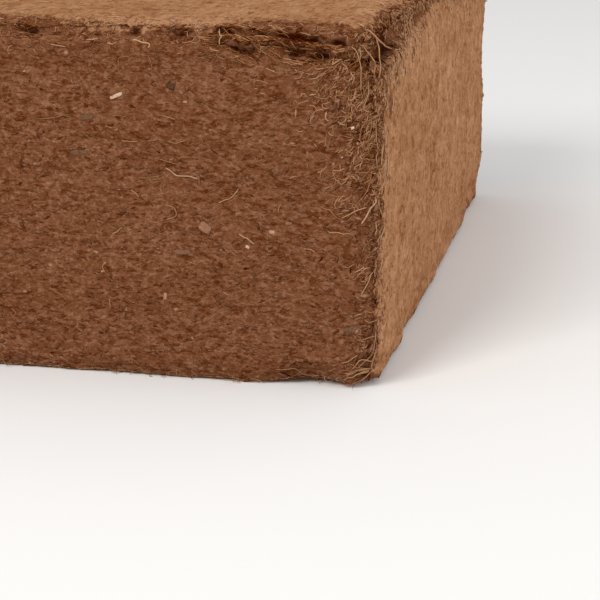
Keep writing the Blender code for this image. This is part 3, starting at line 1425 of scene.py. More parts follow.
LONG_FIBRES = (
    # Strands that hang over the upper right corner and down its rim
    LongFibre(
        ((141.4, 121.0), (143.5, 120.0), (146.0, 117.9), (148.6, 115.1), (151.1, 113.4), (153.6, 113.0)),
        0.19, 0.72, 0.5, bridging=True,
    ),
    LongFibre(
        ((139.7, 116.1), (141.0, 113.1), (142.3, 109.3), (143.0, 105.6), (142.7, 101.8), (143.0, 99.3)),
        0.15, 0.70, 0.6, bridging=True,
    ),
    LongFibre(
        ((147.6, 119.5), (148.3, 114.2), (148.6, 109.5), (149.0, 104.5), (150.9, 103.4), (153.1, 104.4)),
        0.15, 0.74, 0.5, bridging=True,
    ),
    LongFibre(
        ((142.6, 115.6), (144.2, 112.5), (146.4, 109.5), (148.4, 105.8)), 0.16, 0.66, 0.5, bridging=True
    ),
    LongFibre(((146.2, 103.2), (145.6, 99.4), (144.4, 95.5), (143.7, 93.0)), 0.15, 0.68, 0.8),
    LongFibre(((134.3, 98.1), (138.3, 98.0), (142.7, 98.8)), 0.13, 0.60),
    LongFibre(((147.5, 96.9), (148.5, 93.2), (149.5, 91.3)), 0.13, 0.64, 0.5),
    LongFibre(((145.1, 91.0), (143.4, 87.5), (142.9, 84.3)), 0.15, 0.54, 0.5),
    LongFibre(((148.1, 90.1), (148.0, 86.4), (148.2, 82.7)), 0.13, 0.68, 0.5),
    LongFibre(((146.6, 94.0), (146.8, 89.5), (145.2, 84.0), (145.6, 79.0)), 0.12, 0.58, 0.5),
    LongFibre(((146.6, 82.3), (143.9, 78.4), (142.5, 76.7), (139.4, 75.8)), 0.14, 0.52, 0.4),
    LongFibre(((148.7, 81.0), (148.9, 78.4), (148.0, 75.6)), 0.13, 0.68, 0.5),
    LongFibre(((149.6, 78.7), (150.4, 75.0)), 0.12, 0.66),
    LongFibre(((146.3, 75.5), (144.6, 72.7), (142.9, 71.2)), 0.14, 0.54, 0.4),
    LongFibre(((138.9, 71.7), (136.6, 69.0)), 0.18, 0.64),
    LongFibre(((133.8, 90.7), (137.0, 91.2), (139.0, 90.4)), 0.13, 0.62),
    LongFibre(((136.1, 85.0), (141.3, 84.6)), 0.13, 0.58),
    LongFibre(((149.2, 65.6), (146.2, 61.0), (143.3, 56.6)), 0.22, 0.86),
    LongFibre(((147.4, 71.5), (143.6, 66.1), (141.0, 62.0)), 0.13, 0.62),
    LongFibre(((145.2, 62.2), (141.0, 60.6), (136.6, 58.2)), 0.16, 0.78),
    LongFibre(((148.5, 57.8), (149.2, 55.2), (148.6, 52.5)), 0.15, 0.76),
    LongFibre(((149.3, 44.6), (148.7, 41.9), (149.4, 38.9)), 0.14, 0.74),
    LongFibre(((148.4, 42.1), (145.8, 37.1), (143.2, 32.5)), 0.16, 0.76),
    # Bent fibres on the face
    LongFibre(((68.2, 115.6), (69.5, 114.1), (71.5, 113.2), (74.1, 112.6), (73.1, 110.7)), 0.22, 0.84),
    LongFibre(((52.4, 113.6), (54.8, 114.0), (56.5, 114.7)), 0.19, 0.80),
    LongFibre(((40.4, 111.0), (43.2, 110.7), (45.5, 110.1)), 0.17, 0.74),
    LongFibre(((35.3, 86.5), (40.1, 87.0), (45.0, 87.9))),
    LongFibre(((76.9, 89.6), (79.2, 89.1), (82.2, 88.2)), 0.14, 0.68),
    LongFibre(((62.0, 88.4), (65.4, 88.2)), 0.13, 0.62),
    LongFibre(((57.5, 84.9), (60.2, 84.7)), 0.13, 0.64),
    LongFibre(((63.2, 80.5), (65.9, 80.3), (69.3, 80.5)), 0.20, 0.66),
    LongFibre(((72.3, 80.6), (76.0, 81.1)), 0.13, 0.66),
    LongFibre(((79.0, 80.9), (81.4, 80.3), (85.1, 81.5)), 0.14, 0.68),
    LongFibre(((62.9, 104.2), (63.3, 107.5), (65.7, 107.9), (68.7, 107.0)), 0.12, 0.60),
    LongFibre(((73.0, 108.4), (74.0, 106.5), (74.3, 104.0)), 0.16, 0.56),
    LongFibre(((84.4, 113.2), (87.4, 113.6), (90.0, 113.1)), 0.15, 0.66),
    LongFibre(((96.6, 117.7), (97.6, 115.5), (97.2, 113.0)), 0.18, 0.84),
    LongFibre(((76.2, 74.6), (79.3, 73.7), (83.3, 72.9)), 0.12, 0.64),
    LongFibre(((77.9, 72.0), (80.5, 70.5), (81.5, 69.2), (86.6, 69.1), (89.3, 67.6)), 0.19, 0.86),
    LongFibre(((89.2, 69.4), (89.5, 66.5)), 0.12, 0.66),
    LongFibre(((69.6, 68.3), (73.1, 68.8), (75.8, 69.3)), 0.12, 0.64),
    LongFibre(((66.1, 64.1), (67.8, 63.2), (69.1, 61.6)), 0.15, 0.76),
    LongFibre(((95.2, 61.2), (97.6, 62.0), (99.9, 62.8), (102.6, 65.9)), 0.16, 0.78),
    LongFibre(((116.1, 61.8), (115.8, 58.8)), 0.13, 0.70),
    LongFibre(
        ((77.6, 59.7), (79.6, 59.4), (81.3, 58.8), (81.9, 56.2), (79.9, 55.1), (78.2, 54.6)), 0.14, 0.70
    ),
    LongFibre(((102.5, 51.2), (105.5, 50.0), (108.1, 48.1)), 0.21, 0.80),
    LongFibre(((59.5, 48.6), (61.2, 49.7), (63.0, 51.1)), 0.16, 0.74),
    LongFibre(((56.4, 39.4), (55.6, 37.3), (56.6, 35.6)), 0.15, 0.68),
    LongFibre(((58.1, 26.7), (58.0, 25.0), (58.3, 23.2)), 0.16, 0.68),
    LongFibre(((141.5, 17.1), (145.2, 18.1), (149.1, 19.7)), 0.13, 0.72),
    LongFibre(((144.4, 24.9), (146.4, 23.6), (148.1, 24.7)), 0.13, 0.70),
    LongFibre(((136.9, 8.9), (139.9, 10.1), (142.6, 11.7)), 0.18, 0.68),
    # Tangle at the lower right corner and strands along the lower rim
    LongFibre(((136.6, 2.9), (140.0, 3.6), (144.0, 4.2), (146.6, 6.4)), 0.13, 0.76),
    LongFibre(((137.6, 4.9), (140.6, 5.1), (143.3, 6.4), (145.3, 5.1)), 0.13, 0.72),
    LongFibre(((140.0, 1.6), (142.7, 2.5), (145.3, 4.0), (147.3, 7.2)), 0.13, 0.76),
    LongFibre(((114.7, 4.9), (118.1, 4.4), (122.1, 4.4), (125.9, 3.9), (129.9, 3.5)), 0.13, 0.62),
    LongFibre(((148.0, 22.0), (147.6, 16.0), (145.6, 10.0), (143.0, 6.5)), 0.13, 0.74),
    LongFibre(((148.8, 18.0), (147.4, 12.0), (146.4, 8.0), (143.8, 4.0)), 0.12, 0.68),
    LongFibre(((140.8, 7.1), (144.1, 9.4), (147.4, 9.9), (149.4, 12.1)), 0.13, 0.74),
    LongFibre(((136.8, 4.4), (140.8, 6.0), (144.8, 7.0), (148.1, 9.3)), 0.13, 0.72),
    LongFibre(((138.5, 8.6), (142.1, 8.2), (145.5, 6.4)), 0.12, 0.68),
    LongFibre(((142.8, 3.4), (145.5, 5.3), (147.5, 7.5), (148.8, 10.7)), 0.14, 0.78),
)

# Thin cracks along the layers, drawn as dark sunk tubes: painted shade in the cracks
CRACKS = (
    LongFibre(
        ((99.9, 116.2), (103.1, 115.4), (107.0, 114.2), (110.9, 114.3), (116.7, 115.1)), 0.42, 0.0, 0.0
    ),
    LongFibre(((116.7, 115.1), (120.6, 115.9), (124.7, 116.3), (131.0, 115.6)), 0.38, 0.02, 0.0),
    LongFibre(((20.0, 113.6), (27.6, 113.6), (31.7, 113.2), (36.0, 113.7)), 0.30, 0.20, 0.0),
    LongFibre(((16.0, 118.6), (23.7, 118.4), (31.2, 118.3), (36.0, 118.7), (43.5, 119.1)), 0.34, 0.24, 0.0),
    LongFibre(((46.1, 117.6), (49.5, 118.0), (53.0, 117.4)), 0.32, 0.26, 0.0),
    LongFibre(((116.4, 3.3), (120.5, 3.0), (124.8, 3.3), (129.9, 3.2)), 0.45, 0.0, 0.0),
    LongFibre(((119.8, 4.9), (121.8, 7.8), (123.8, 5.5)), 0.40, 0.0, 0.0),
    LongFibre(((88.6, 56.0), (90.0, 54.2), (92.4, 54.8)), 0.28, 0.02, 0.0),
    LongFibre(((89.4, 51.2), (91.6, 50.2), (93.6, 51.6)), 0.26, 0.02, 0.0),
)


@dataclass(frozen=True)
class HandLaid:
    """A piece of listed fibres, with the slot of its finish, which is not used.

    Each fibre is read at a number of points, which stray sideways by the wobble in metres, and its
    radius is multiplied by the thickening.
    """

    name: str
    slot: str
    fibres: tuple[LongFibre, ...]
    points: int
    wobble: float
    thickening: float


HAND_LAID = (
    HandLaid("long_fibres", "coir_fibre", LONG_FIBRES, 16, 0.00015, 1.6),
    HandLaid("cracks", "coir_block", CRACKS, 18, 0.00030, 0.6),
)


@dataclass
class FibreMat:
    """Lays fibres on the ground and joins them into meshes of thin closed tubes."""

    ground: Ground
    finish: bpy.types.Material
    sides: int = 3

    # Wave of a fibre, as a share of its bend and in turns, and the angle of a kink
    wave: float = 0.5
    wave_turns: float = 1.1
    kink: float = 1.0

    # How fast a fibre arches, how fast and how far a free end rises, and the least and the most that
    # chance makes of the loft
    arch_power: float = 0.8
    rise_power: float = 1.7
    rise: float = 2.5
    loft_shares: Pair = (0.1, 2.5)

    # Listed fibres: how high their ends lie and how fast they arch, and how often they are smoothed
    hand_seed: int = 51
    hand_ends: float = 0.25
    hand_arch_power: float = 0.7
    hand_smoothings: int = 2
    # Painted shade on the sides of the long fibres, below their ridges
    hand_side_shade: float = 0.10

    # How far a fibre that bridges a hollow sags into it, as a share of the hollow's depth, and how soon
    # it leaves the ground, as a share of its length
    sag: float = 0.5
    hold: float = 0.3

    def path(self, start: Vector, heading: Vector, step: float, turns: np.ndarray) -> tuple[list, list]:
        """Follows the ground from a start.

        Args:
            start: a point near the ground.
            heading: the direction to set out in.
            step: distance from one point to the next.
            turns: turn at each point but the last, in radians.

        Returns:
            The points on the ground, and the ground's outward directions at them.
        """
        spot, normal = self.ground.nearest(start)
        spots, normals = [spot], [normal]
        for turn in turns:
            heading = (heading - normal * heading.dot(normal)).normalized()
            heading.rotate(Quaternion(normal, turn))
            spot, own = self.ground.nearest(spot + heading * step)
            normal = (own + normal).normalized()
            spots.append(spot)
            normals.append(normal)
        return spots, normals

    def turns(self, layer: FibreLayer, rng: np.random.Generator) -> np.ndarray:
        """How each fibre of a layer turns on its way: a first stray, an even bend, a wave and a kink.

        Args:
            layer: the layer.
            rng: the random source.

        Returns:
            One row for each fibre, with a turn for each of its steps.
        """
        steps = layer.points - 1
        along = np.linspace(0.0, 1.0, steps)
        even, size, phase = rng.normal(0.0, 1.0, (3, layer.count, 1))
        wave = self.wave * size * np.sin(math.tau * (self.wave_turns * along + phase))
        heading = layer.bend * (even * along + wave)
        heading[:, 0] += rng.normal(0.0, layer.stray, layer.count)
        kink_at = rng.integers(1, steps, layer.count)
        kinked = rng.random(layer.count) < layer.kinked
        kinks = np.where(kinked, self.kink * rng.choice((-1.0, 1.0), layer.count), 0.0)
        turns = np.diff(heading, axis=1, prepend=0.0)
        turns[np.arange(layer.count), kink_at] += kinks
        return turns

    def lofts(self, layer: FibreLayer, rng: np.random.Generator) -> np.ndarray:
        """Height of each point of each fibre above the ground.

        Args:
            layer: the layer.
            rng: the random source.

        Returns:
            One row of heights for each fibre: an arch, or a rise towards a free end.
        """
        along = np.linspace(0.0, 1.0, layer.points)
        arch = np.sin(np.pi * along) ** self.arch_power
        rise = self.rise * along**self.rise_power
        free = rng.random(layer.count) < layer.free_ends
        height = layer.loft * rng.exponential(1.0, layer.count).clip(*self.loft_shares)
        return height[:, None] * np.where(free[:, None], rise, arch)

    def lay(self, layer: FibreLayer) -> bpy.types.Object:
        """Lays a whole layer.

        Args:
            layer: the layer.

        Returns:
            The joined object of its fibres.
        """
        rng = np.random.default_rng(layer.seed)
        starts, headings = self.ground.strew(layer, rng)
        headings *= rng.choice((-1.0, 1.0), (layer.count, 1))
        lengths = rng.triangular(layer.length[0], layer.length[0], layer.length[1], layer.count)
        turns = self.turns(layer, rng)
        paths = np.empty((layer.count, layer.points, 3))
        ups = np.empty((layer.count, layer.points, 3))
        for i in range(layer.count):
            step = lengths[i] / (layer.points - 1)
            paths[i], ups[i] = self.path(Vector(starts[i]), Vector(headings[i]), step, turns[i])
        paths[:, 1:-1] = 0.5 * paths[:, 1:-1] + 0.25 * (paths[:, 2:] + paths[:, :-2])
        paths += ups * self.lofts(layer, rng)[:, :, None]
        radii = rng.uniform(*layer.radius, layer.count)
        tones = layer.tone[0] + rng.exponential(layer.tone[1], layer.count)
        tones, side_shades = self.ground.tones(starts, tones, layer.side_shade)
        return self.joined(layer.name, paths, ups, radii, np.clip(tones, 0.0, layer.palest), side_shades)

    def pick(self, fibre: LongFibre, piece: HandLaid, rng: np.random.Generator) -> np.ndarray:
        """Reads a listed fibre at evenly spaced points.

        Args:
            fibre: the fibre.
            piece: the piece that it belongs to.
            rng: the random source.

        Returns:
            Points in the plane of the front, with their wobble.
        """
        knots = np.array(fibre.points) * MM
        spans = np.linalg.norm(np.diff(knots, axis=0), axis=1)
        shares = np.concatenate([[0.0], np.cumsum(spans)]) / spans.sum()
        along = np.linspace(0.0, 1.0, piece.points)
        x, z = (np.interp(along, shares, knots[:, side]) for side in (0, 1))
        x += rng.normal(0.0, piece.wobble, piece.points)
        z += rng.normal(0.0, piece.wobble, piece.points)
        return np.stack([x, np.full(piece.points, -self.ground.form.half[1]), z], axis=1)

    def lay_long(self, piece: HandLaid) -> bpy.types.Object:
        """Lays a piece of long fibres by listed points on the front.

        Args:
            piece: the piece.

        Returns:
            The joined object of its fibres.
        """
        rng = np.random.default_rng(self.hand_seed)
        arch = np.sin(np.pi * np.linspace(0.0, 1.0, piece.points)) ** self.hand_arch_power
        paths, ups = [], []
        for fibre in piece.fibres:
            picked = self.pick(fibre, piece, rng)
            spots, normals = self.ground.settle(picked)
            if fibre.bridging:
                spots = self.bridge(picked, spots, normals)
            for _ in range(self.hand_smoothings):
                spots[1:-1] = 0.5 * spots[1:-1] + 0.25 * (spots[2:] + spots[:-2])
                normals[1:-1] = unit(normals[1:-1] + 0.5 * (normals[2:] + normals[:-2]))
            loft = (self.hand_ends + arch) * fibre.loft * MM
            paths.append(spots + normals * loft[:, None])
            ups.append(normals)
        radii = np.array([fibre.radius for fibre in piece.fibres]) * piece.thickening * MM
        tones = np.array([fibre.tone for fibre in piece.fibres])
        side_shades = np.full(len(tones), self.hand_side_shade)
        return self.joined(piece.name, np.array(paths), np.array(ups), radii, tones, side_shades)

    def bridge(self, picked: np.ndarray, spots: np.ndarray, normals: np.ndarray) -> np.ndarray:
        """Spans a fibre over hollows, so that only its ends and what would be buried lie on the ground.

        Args:
            picked: the fibre's points before they were moved onto the ground.
            spots: the ground's points nearest to them.
            normals: the ground's outward directions there.

        Returns:
            The points of the spanned fibre.
        """
        share = np.linspace(0.0, 1.0, len(picked))[:, None]
        near_start, near_end = closeness(share, self.hold), closeness(1.0 - share, self.hold)
        away = unit(picked - np.array(self.ground.eye))
        sagging = picked + self.sag * (spots[:, 1:2] - picked[:, 1:2]) * away
        start, end = self.ground.behind(picked[0]), self.ground.behind(picked[-1])
        spanned = sagging + near_start * (start - sagging[0]) + near_end * (end - sagging[-1])
        above = np.sum((spanned - spots) * normals, axis=1, keepdims=True) > 0.0
        return np.where(above, spanned, spots)

    def joined(
        self, name: str, paths: np.ndarray, ups: np.ndarray, radii: np.ndarray, tones: np.ndarray,
        side_shades: np.ndarray,
    ) -> bpy.types.Object:
        """Joins fibres into one mesh of thin closed tubes with pointed ends.

        Args:
            name: name of the object.
            paths: points along each fibre.
            ups: outward direction at each point.
            radii: each fibre's radius.
            tones: each fibre's tone.
            side_shades: how much darker painted shade makes the sides of each fibre than its ridge.

        Returns:
            The joined object.
        """
        paths[:, :, 2] = np.maximum(paths[:, :, 2], radii[:, None])
        count, points, _ = paths.shape
        along = unit(np.gradient(paths, axis=1))
        across = unit(np.cross(along, ups))
        over = np.cross(across, along)
        turns = math.tau * (0.25 + np.arange(self.sides) / self.sides)
        ring = np.cos(turns)[:, None] * across[:, 1:-1, None] + np.sin(turns)[:, None] * over[:, 1:-1, None]
        rings = paths[:, 1:-1, None] + radii[:, None, None, None] * ring
        verts = np.concatenate([paths[:, :1], rings.reshape(count, -1, 3), paths[:, -1:]], axis=1)
        mesh = mesh_of(name, verts.reshape(-1, 3), self.tube_faces(count, points - 2))
        # Painted shade: the lower points of each ring and both tips take a darker tone than the ridge
        low = np.tile(np.where(np.sin(turns) > 0.0, 0.0, 1.0), points - 2)
        low = np.concatenate([[1.0], low, [1.0]])
        add_values(mesh, "tone", (tones[:, None] - side_shades[:, None] * low).ravel())
        mesh.shade_smooth()
        return add_object(name, mesh, self.finish)

    def tube_faces(self, count: int, rings: int) -> list[np.ndarray]:
        """Faces of tubes that each have a tip, some rings and a tip.

        Args:
            count: how many tubes there are.
            rings: how many rings each has.

        Returns:
            The quads between rings and the triangles at both tips.
        """
        size = rings * self.sides + 2
        first = np.arange(count)[:, None] * size
        corner = np.arange(self.sides)
        beside = (corner + 1) % self.sides
        here = first[:, :, None] + 1 + np.arange(rings - 1)[None, :, None] * self.sides
        quads = [here + corner, here + self.sides + corner, here + self.sides + beside, here + beside]
        tip = np.broadcast_to(first, (count, self.sides))
        near = [tip, first + 1 + corner, first + 1 + beside]
        last = first + 1 + (rings - 1) * self.sides
        far = [tip + size - 1, last + beside, last + corner]
        return [np.stack(group, axis=-1).reshape(-1, len(group)) for group in (quads, near, far)]


class GrainShape(Enum):
    """The plain shape that a grain is roughened from."""

    FLAKE = "a flat double pyramid with its tips along the grain"
    CHIP = "a flat block with bevelled edges"


@dataclass(frozen=True, kw_only=True)
class GrainLayer(Layer):
    """Many loose grains: shape, half length, width to length, thickness to width, tone and lie.

    The tone is the middle one and the spread about it.
    """

    shape: GrainShape
    size: Pair
    slimness: Pair
    flatness: Pair
    tone: Pair
    sink: float
    stray: float
    tilt: float
    jitter: float = 0.3


GRAIN_LAYERS = (
    GrainLayer(
        name="press_face_flakes", bed=Bed.PRESS_FACES, count=15000, seed=21, shape=GrainShape.FLAKE,
        size=(0.0005, 0.0022), slimness=(0.16, 0.50), flatness=(0.10, 0.25), tone=(0.46, 0.09), sink=0.44,
        stray=0.45, tilt=0.12,
    ),
    GrainLayer(
        name="mould_face_flakes", bed=Bed.MOULD_FACES, count=4000, seed=25, shape=GrainShape.FLAKE,
        size=(0.0004, 0.0014), slimness=(0.25, 0.70), flatness=(0.12, 0.3), tone=(0.46, 0.12), sink=0.44,
        stray=0.8, tilt=0.06,
    ),
    GrainLayer(
        name="level_rim_flakes", bed=Bed.LEVEL_RIMS, count=2800, seed=22, reach=0.0045, top_share=0.5,
        shape=GrainShape.FLAKE, size=(0.0005, 0.0024), slimness=(0.14, 0.4), flatness=(0.25, 0.5),
        tone=(0.66, 0.13), sink=0.40, stray=0.35, tilt=0.20, side_shade=0.24,
    ),
    GrainLayer(
        name="border_flakes", bed=Bed.PRESS_BORDERS, count=3600, seed=26, reach=0.010, clumping=0.8,
        top_share=0.6, shape=GrainShape.FLAKE, size=(0.0006, 0.0030), slimness=(0.14, 0.36),
        flatness=(0.3, 0.6), tone=(0.65, 0.13), sink=0.36, stray=0.5, tilt=0.20, side_shade=0.20,
    ),
    GrainLayer(
        name="torn_side_flakes", bed=Bed.TORN_SIDES, count=2600, seed=29, reach=0.045, clumping=0.3,
        shape=GrainShape.FLAKE, size=(0.0006, 0.0024), slimness=(0.25, 0.6), flatness=(0.2, 0.4),
        tone=(0.82, 0.18), sink=0.40, stray=1.2, tilt=0.16, side_shade=0.48,
    ),
    GrainLayer(
        name="upright_rim_flakes", bed=Bed.UPRIGHT_RIMS, count=1600, seed=23, reach=0.0060,
        shape=GrainShape.FLAKE, size=(0.0005, 0.0022), slimness=(0.16, 0.5), flatness=(0.25, 0.5),
        tone=(0.60, 0.13), sink=0.38, stray=0.6, tilt=0.30, side_shade=0.22,
    ),
    GrainLayer(
        name="side_edge_flakes", bed=Bed.SIDE_EDGES, count=1800, seed=24, reach=0.0070, top_share=0.9,
        shape=GrainShape.FLAKE, size=(0.0005, 0.0022), slimness=(0.30, 0.7), flatness=(0.2, 0.45),
        tone=(0.67, 0.15), sink=0.42, stray=1.6, tilt=0.18, side_shade=0.30,
    ),
)

HUSK_LAYERS = (
    GrainLayer(
        name="press_face_husk", bed=Bed.PRESS_FACES, count=190, seed=27, shape=GrainShape.CHIP,
        size=(0.0004, 0.0012), slimness=(0.35, 0.8), flatness=(0.2, 0.4), tone=(0.42, 0.12), sink=0.46,
        stray=0.8, tilt=0.12,
    ),
    GrainLayer(
        name="mould_face_husk", bed=Bed.MOULD_FACES, count=110, seed=28, shape=GrainShape.CHIP,
        size=(0.0003, 0.0011), slimness=(0.3, 0.7), flatness=(0.15, 0.3), tone=(0.40, 0.10), sink=0.44,
        stray=0.9, tilt=0.05,
    ),
)


@dataclass(frozen=True)
class Chip:
    """A flat chip of husk on the front: X and Z, length and width in millimetres, turn and tone."""

    x: float
    z: float
    length: float
    width: float
    turn: float
    tone: float


CHIPS = (
    Chip(62.0, 94.9, 4.4, 1.2, 0.41, 0.86),
    Chip(85.3, 93.9, 1.4, 0.8, 0.0, 0.70),
    Chip(45.4, 108.2, 1.5, 1.1, 0.5, 0.60),
    Chip(80.3, 99.3, 3.2, 2.4, -0.5, 0.12),
    Chip(51.6, 87.1, 4.4, 1.7, 0.1, 0.29),
    Chip(48.6, 75.3, 6.0, 1.8, 0.1, 0.28),
    Chip(91.3, 52.6, 4.2, 3.2, -0.5, 0.52),
    Chip(83.4, 44.0, 6.2, 1.7, 0.05, 0.36),
    Chip(55.6, 36.0, 1.2, 0.7, 0.3, 0.66),
    Chip(56.4, 38.8, 1.1, 0.7, 0.9, 0.64),
    Chip(77.3, 28.4, 2.5, 1.3, 1.4, 0.66),
    Chip(80.9, 24.2, 1.4, 0.9, 0.4, 0.62),
    Chip(139.6, 87.3, 1.3, 0.9, 0.3, 0.95),
    Chip(140.3, 20.8, 4.4, 2.4, 0.2, 0.30),
)


@dataclass
class GrainBed:
    """Scatters grains on the ground and joins each layer into one mesh."""

    ground: Ground
    finish: bpy.types.Material

    # Bevel of a chip's edges, and the height above which a grain's points belong to its ridge
    bevel: float = 0.35
    ridge: float = 0.5

    # How much of the tilt tips a grain lengthwise, and how rare the extreme tones are
    lengthwise_tilt: float = 0.5
    tone_freedom: float = 5.0

    # Listed chips: seed, half of their thickness in millimetres, and unevenness
    chip_seed: int = 41
    chip_half_depth: float = 0.22
    chip_jitter: float = 0.25

    def template(self, shape: GrainShape) -> tuple[np.ndarray, np.ndarray]:
        """Points and faces of a plain shape.

        Args:
            shape: the shape.

        Returns:
            Its points, with any tips along X, and its triangles.
        """
        solid = bmesh.new()
        if shape is GrainShape.FLAKE:
            bmesh.ops.create_uvsphere(solid, u_segments=4, v_segments=2, radius=1.0)
        else:
            bmesh.ops.create_cube(solid, size=2.0)
            look = {"affect": "EDGES", "segments": 1, "profile": 0.5, "material": -1}
            bmesh.ops.bevel(solid, geom=solid.edges, offset=self.bevel, **look)
            bmesh.ops.triangulate(solid, faces=solid.faces)
        solid.verts.index_update()
        verts = np.array([vert.co[:] for vert in solid.verts])[:, [2, 0, 1]]
        faces = np.array([[vert.index for vert in face.verts] for face in solid.faces])
        solid.free()
        return verts, faces

    def axes(
        self, headings: np.ndarray, normals: np.ndarray, layer: GrainLayer, rng: np.random.Generator
    ) -> np.ndarray:
        """Each grain's own axes, turned and tilted at random.

        Args:
            headings: the way that the grains lie.
            normals: the ground's outward directions.
            layer: the layer.
            rng: the random source.

        Returns:
            For each grain, its directions along, across and up, as rows.
        """
        count = len(headings)
        level = unit(headings - normals * np.sum(headings * normals, axis=1, keepdims=True))
        beside = np.cross(normals, level)
        turn = rng.normal(0.0, layer.stray, (count, 1))
        along = np.cos(turn) * level + np.sin(turn) * beside
        lean = rng.normal(0.0, layer.tilt, (2, count, 1))
        tipped = lean[0] * along * self.lengthwise_tilt
        up = unit(normals + tipped + lean[1] * np.cross(normals, along))
        along = unit(along - up * np.sum(along * up, axis=1, keepdims=True))
        return np.stack([along, np.cross(up, along), up], axis=1)

    def scatter(self, layer: GrainLayer) -> bpy.types.Object:
        """Scatters one layer.

        Args:
            layer: the layer.

        Returns:
            The joined object of its grains.
        """
        rng = np.random.default_rng(layer.seed)
        places, headings = self.ground.strew(layer, rng)
        spots, normals = self.ground.settle(places)
        half_length = rng.triangular(layer.size[0], layer.size[0], layer.size[1], layer.count)
        half_width = half_length * rng.uniform(*layer.slimness, layer.count)
        half_depth = half_width * rng.uniform(*layer.flatness, layer.count)
        sizes = np.stack([half_length, half_width, half_depth], axis=1)
        spots = spots + normals * (half_depth * (1.0 - 2.0 * layer.sink))[:, None]
        tones = layer.tone[0] + layer.tone[1] * rng.standard_t(self.tone_freedom, layer.count)
        tones, side_shades = self.ground.tones(places, tones, layer.side_shade)
        tones = np.stack([np.clip(tones, 0.0, 1.0), side_shades], axis=1)
        axes = self.axes(headings, normals, layer, rng)
        return self.joined(layer.name, layer.shape, spots, axes, sizes, tones, layer.jitter, rng)

    def place_chips(self, name: str, chips: Iterable[Chip]) -> bpy.types.Object:
        """Lays listed chips on the front.

        Args:
            name: name of the object.
            chips: the chips.

        Returns:
            The joined object of the chips.
        """
        rng = np.random.default_rng(self.chip_seed)
        front = -self.ground.form.half[1]
        spots, normals = self.ground.settle(np.array([(chip.x * MM, front, chip.z * MM) for chip in chips]))
        turns = np.array([(math.cos(chip.turn), 0.0, math.sin(chip.turn)) for chip in chips])
        along = unit(turns - normals * np.sum(turns * normals, axis=1, keepdims=True))
        axes = np.stack([along, np.cross(normals, along), normals], axis=1)
        halves = [(chip.length / 2.0, chip.width / 2.0, self.chip_half_depth) for chip in chips]
        tones = np.array([(chip.tone, 0.0) for chip in chips])
        sizes = np.array(halves) * MM
        return self.joined(name, GrainShape.CHIP, spots, axes, sizes, tones, self.chip_jitter, rng)

    def joined(
        self, name: str, shape: GrainShape, spots: np.ndarray, axes: np.ndarray, sizes: np.ndarray,
        tones: np.ndarray, jitter: float, rng: np.random.Generator,
    ) -> bpy.types.Object:
        """Joins grains into one mesh.

        Args:
            name: name of the object.
            shape: the plain shape that they are roughened from.
            spots: their middles.
            axes: their own axes.
            sizes: half of their length, width and thickness.
            tones: the tone and the painted side shade of each.
            jitter: how uneven they are, as a share of their size.
            rng: the random source.

        Returns:
            The joined object.
        """
        verts, faces = self.template(shape)
        uneven = rng.uniform(1.0 - jitter, 1.0 + 0.5 * jitter, (len(spots), len(verts), 1))
        own = verts[None] * uneven * sizes[:, None, :]
        points = spots[:, None, :] + np.einsum("gvk,gkc->gvc", own, axes)
        points[:, :, 2] = np.maximum(points[:, :, 2], 0.0)
        numbers = faces[None] + (np.arange(len(spots)) * len(verts))[:, None, None]
        mesh = mesh_of(name, points.reshape(-1, 3), [numbers.reshape(-1, faces.shape[1])])
        # Painted shade: a grain's points below its ridge take a darker tone
        low = np.where(verts[:, 2] > self.ridge, 0.0, 1.0)
        add_values(mesh, "tone", (tones[:, :1] - tones[:, 1:] * low).ravel())
        return add_object(name, mesh, self.finish)


@dataclass(frozen=True)
class CameraPlace:
    """Where the camera stands and what it sees."""

    place: Triple = (0.23914, -0.69509, 0.19453)
    yaw: float = 11.992
    pitch: float = 16.421
    lens: float = 106.735
    sensor: float = 36.0
    farthest: float = 50.0

    def build(self) -> None:
        """Makes the camera and hands it to the scene."""
        data = bpy.data.cameras.new("camera")
        data.lens = self.lens
        data.sensor_width = self.sensor
        data.clip_end = self.farthest
        camera = bpy.data.objects.new("camera", data)
        camera.location = self.place
        camera.rotation_euler = (math.radians(90.0 - self.pitch), 0.0, math.radians(self.yaw))
        bpy.context.scene.collection.objects.link(camera)
        bpy.context.scene.camera = camera


@dataclass(frozen=True)
class SoftBox:
    """A square area light: where it hangs, what it looks at, its side, its power and its colour."""

    name: str
    place: Triple
    target: Triple
    side: float
    power: float
    colour: Triple

    def build(self) -> None:
        """Makes the light."""
        data = bpy.data.lights.new(self.name, "AREA")
        data.shape = "SQUARE"
        data.size = self.side
        data.energy = self.power
        data.color = self.colour
        light = bpy.data.objects.new(self.name, data)
        light.location = self.place
        aim = Vector(self.target) - Vector(self.place)
        light.rotation_euler = aim.to_track_quat("-Z", "Y").to_euler()
        bpy.context.scene.collection.objects.link(light)


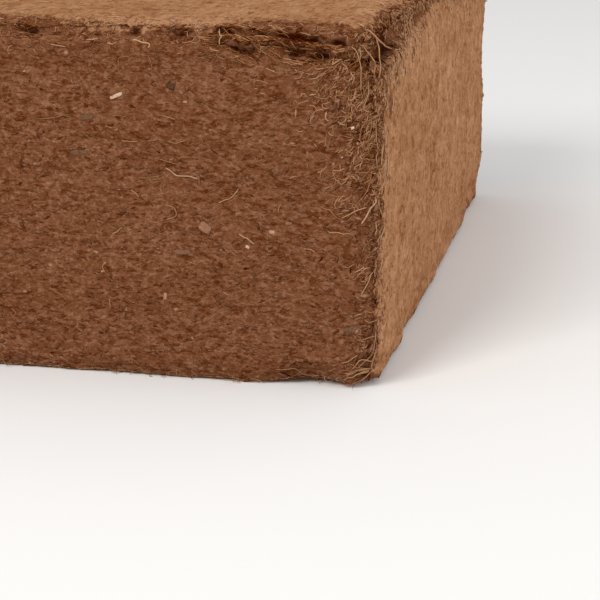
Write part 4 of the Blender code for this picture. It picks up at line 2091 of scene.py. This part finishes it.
@dataclass
class Studio:
    """Pale floor, soft lights and the camera."""

    floor_side: float = 12.0
    world_light: float = 0.66
    world_colour: tuple[float, float, float, float] = (1.0, 0.995, 0.985, 1.0)
    camera: CameraPlace = field(default_factory=CameraPlace)
    lights: tuple[SoftBox, ...] = (
        SoftBox("key", (-0.6, -1.7, 1.4), (0.0, 0.0, 0.06), 0.9, 30.5, (1.0, 0.985, 0.955)),
        SoftBox("side_fill", (2.3, -0.2, 0.9), (0.1, 0.0, 0.06), 1.4, 20.4, (0.98, 1.0, 1.03)),
    )

    def build_floor(self) -> None:
        """Makes the floor, which is no part of the bale."""
        sheet = bmesh.new()
        bmesh.ops.create_grid(sheet, x_segments=1, y_segments=1, size=self.floor_side / 2.0)
        mesh = bpy.data.meshes.new("floor")
        sheet.to_mesh(mesh)
        sheet.free()
        floor = add_object("floor", mesh, FloorFinish().make())

    def build_world(self) -> None:
        """Lights everything evenly from all round."""
        world = bpy.data.worlds.new("soft_light")
        world.use_nodes = True
        background = world.node_tree.nodes["Background"]
        background.inputs["Color"].default_value = self.world_colour
        background.inputs["Strength"].default_value = self.world_light
        bpy.context.scene.world = world

    def build(self) -> None:
        """Builds the whole studio and picks plain colour handling."""
        self.build_floor()
        self.build_world()
        for light in self.lights:
            light.build()
        self.camera.build()
        bpy.context.scene.view_settings.view_transform = "Standard"


@dataclass
class CoirBale:
    """The whole bale between its low and high corners, with everything that clings to it.

    The eye is where the camera stands, because some strands are placed by how they look from there.
    """

    low: Vector
    high: Vector
    eye: Triple

    def adopt(self, piece: bpy.types.Object) -> None:
        """Makes a piece ride on the bale's body, and reports it.

        Args:
            piece: the piece.
        """
        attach(piece, BODY)
        triangles = sum(len(face.vertices) - 2 for face in piece.data.polygons)
        LOG.info("%s: %d triangles", piece.name, triangles)

    def build(self) -> None:
        """Builds the block, then lays fibres, flakes and chips on it."""
        form = WornForm(half=tuple((self.high - self.low) / 2.0))
        block = PressedBlock(form).build()
        self.adopt(block)
        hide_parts(NODE)
        ground = Ground(block, form, self.eye)
        mat = FibreMat(ground, FIBRE_FINISH.make())
        for layer in FIBRE_LAYERS:
            self.adopt(mat.lay(layer))
        for piece in HAND_LAID:
            self.adopt(mat.lay_long(piece))
        grains = GrainBed(ground, GRAIN_FINISH.make())
        for layer in GRAIN_LAYERS:
            self.adopt(grains.scatter(layer))
        husk = GrainBed(ground, CHIP_FINISH.make())
        for layer in HUSK_LAYERS:
            self.adopt(husk.scatter(layer))
        self.adopt(husk.place_chips("husk_chips", CHIPS))


def main() -> None:
    """Builds the studio and the bale, and reports each piece."""
    logging.basicConfig(level=logging.INFO, format="%(message)s")
    studio = Studio()
    studio.build()
    low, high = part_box(NODE)
    CoirBale(low, high, studio.camera.place).build()


if __name__ == "__main__":
    main()
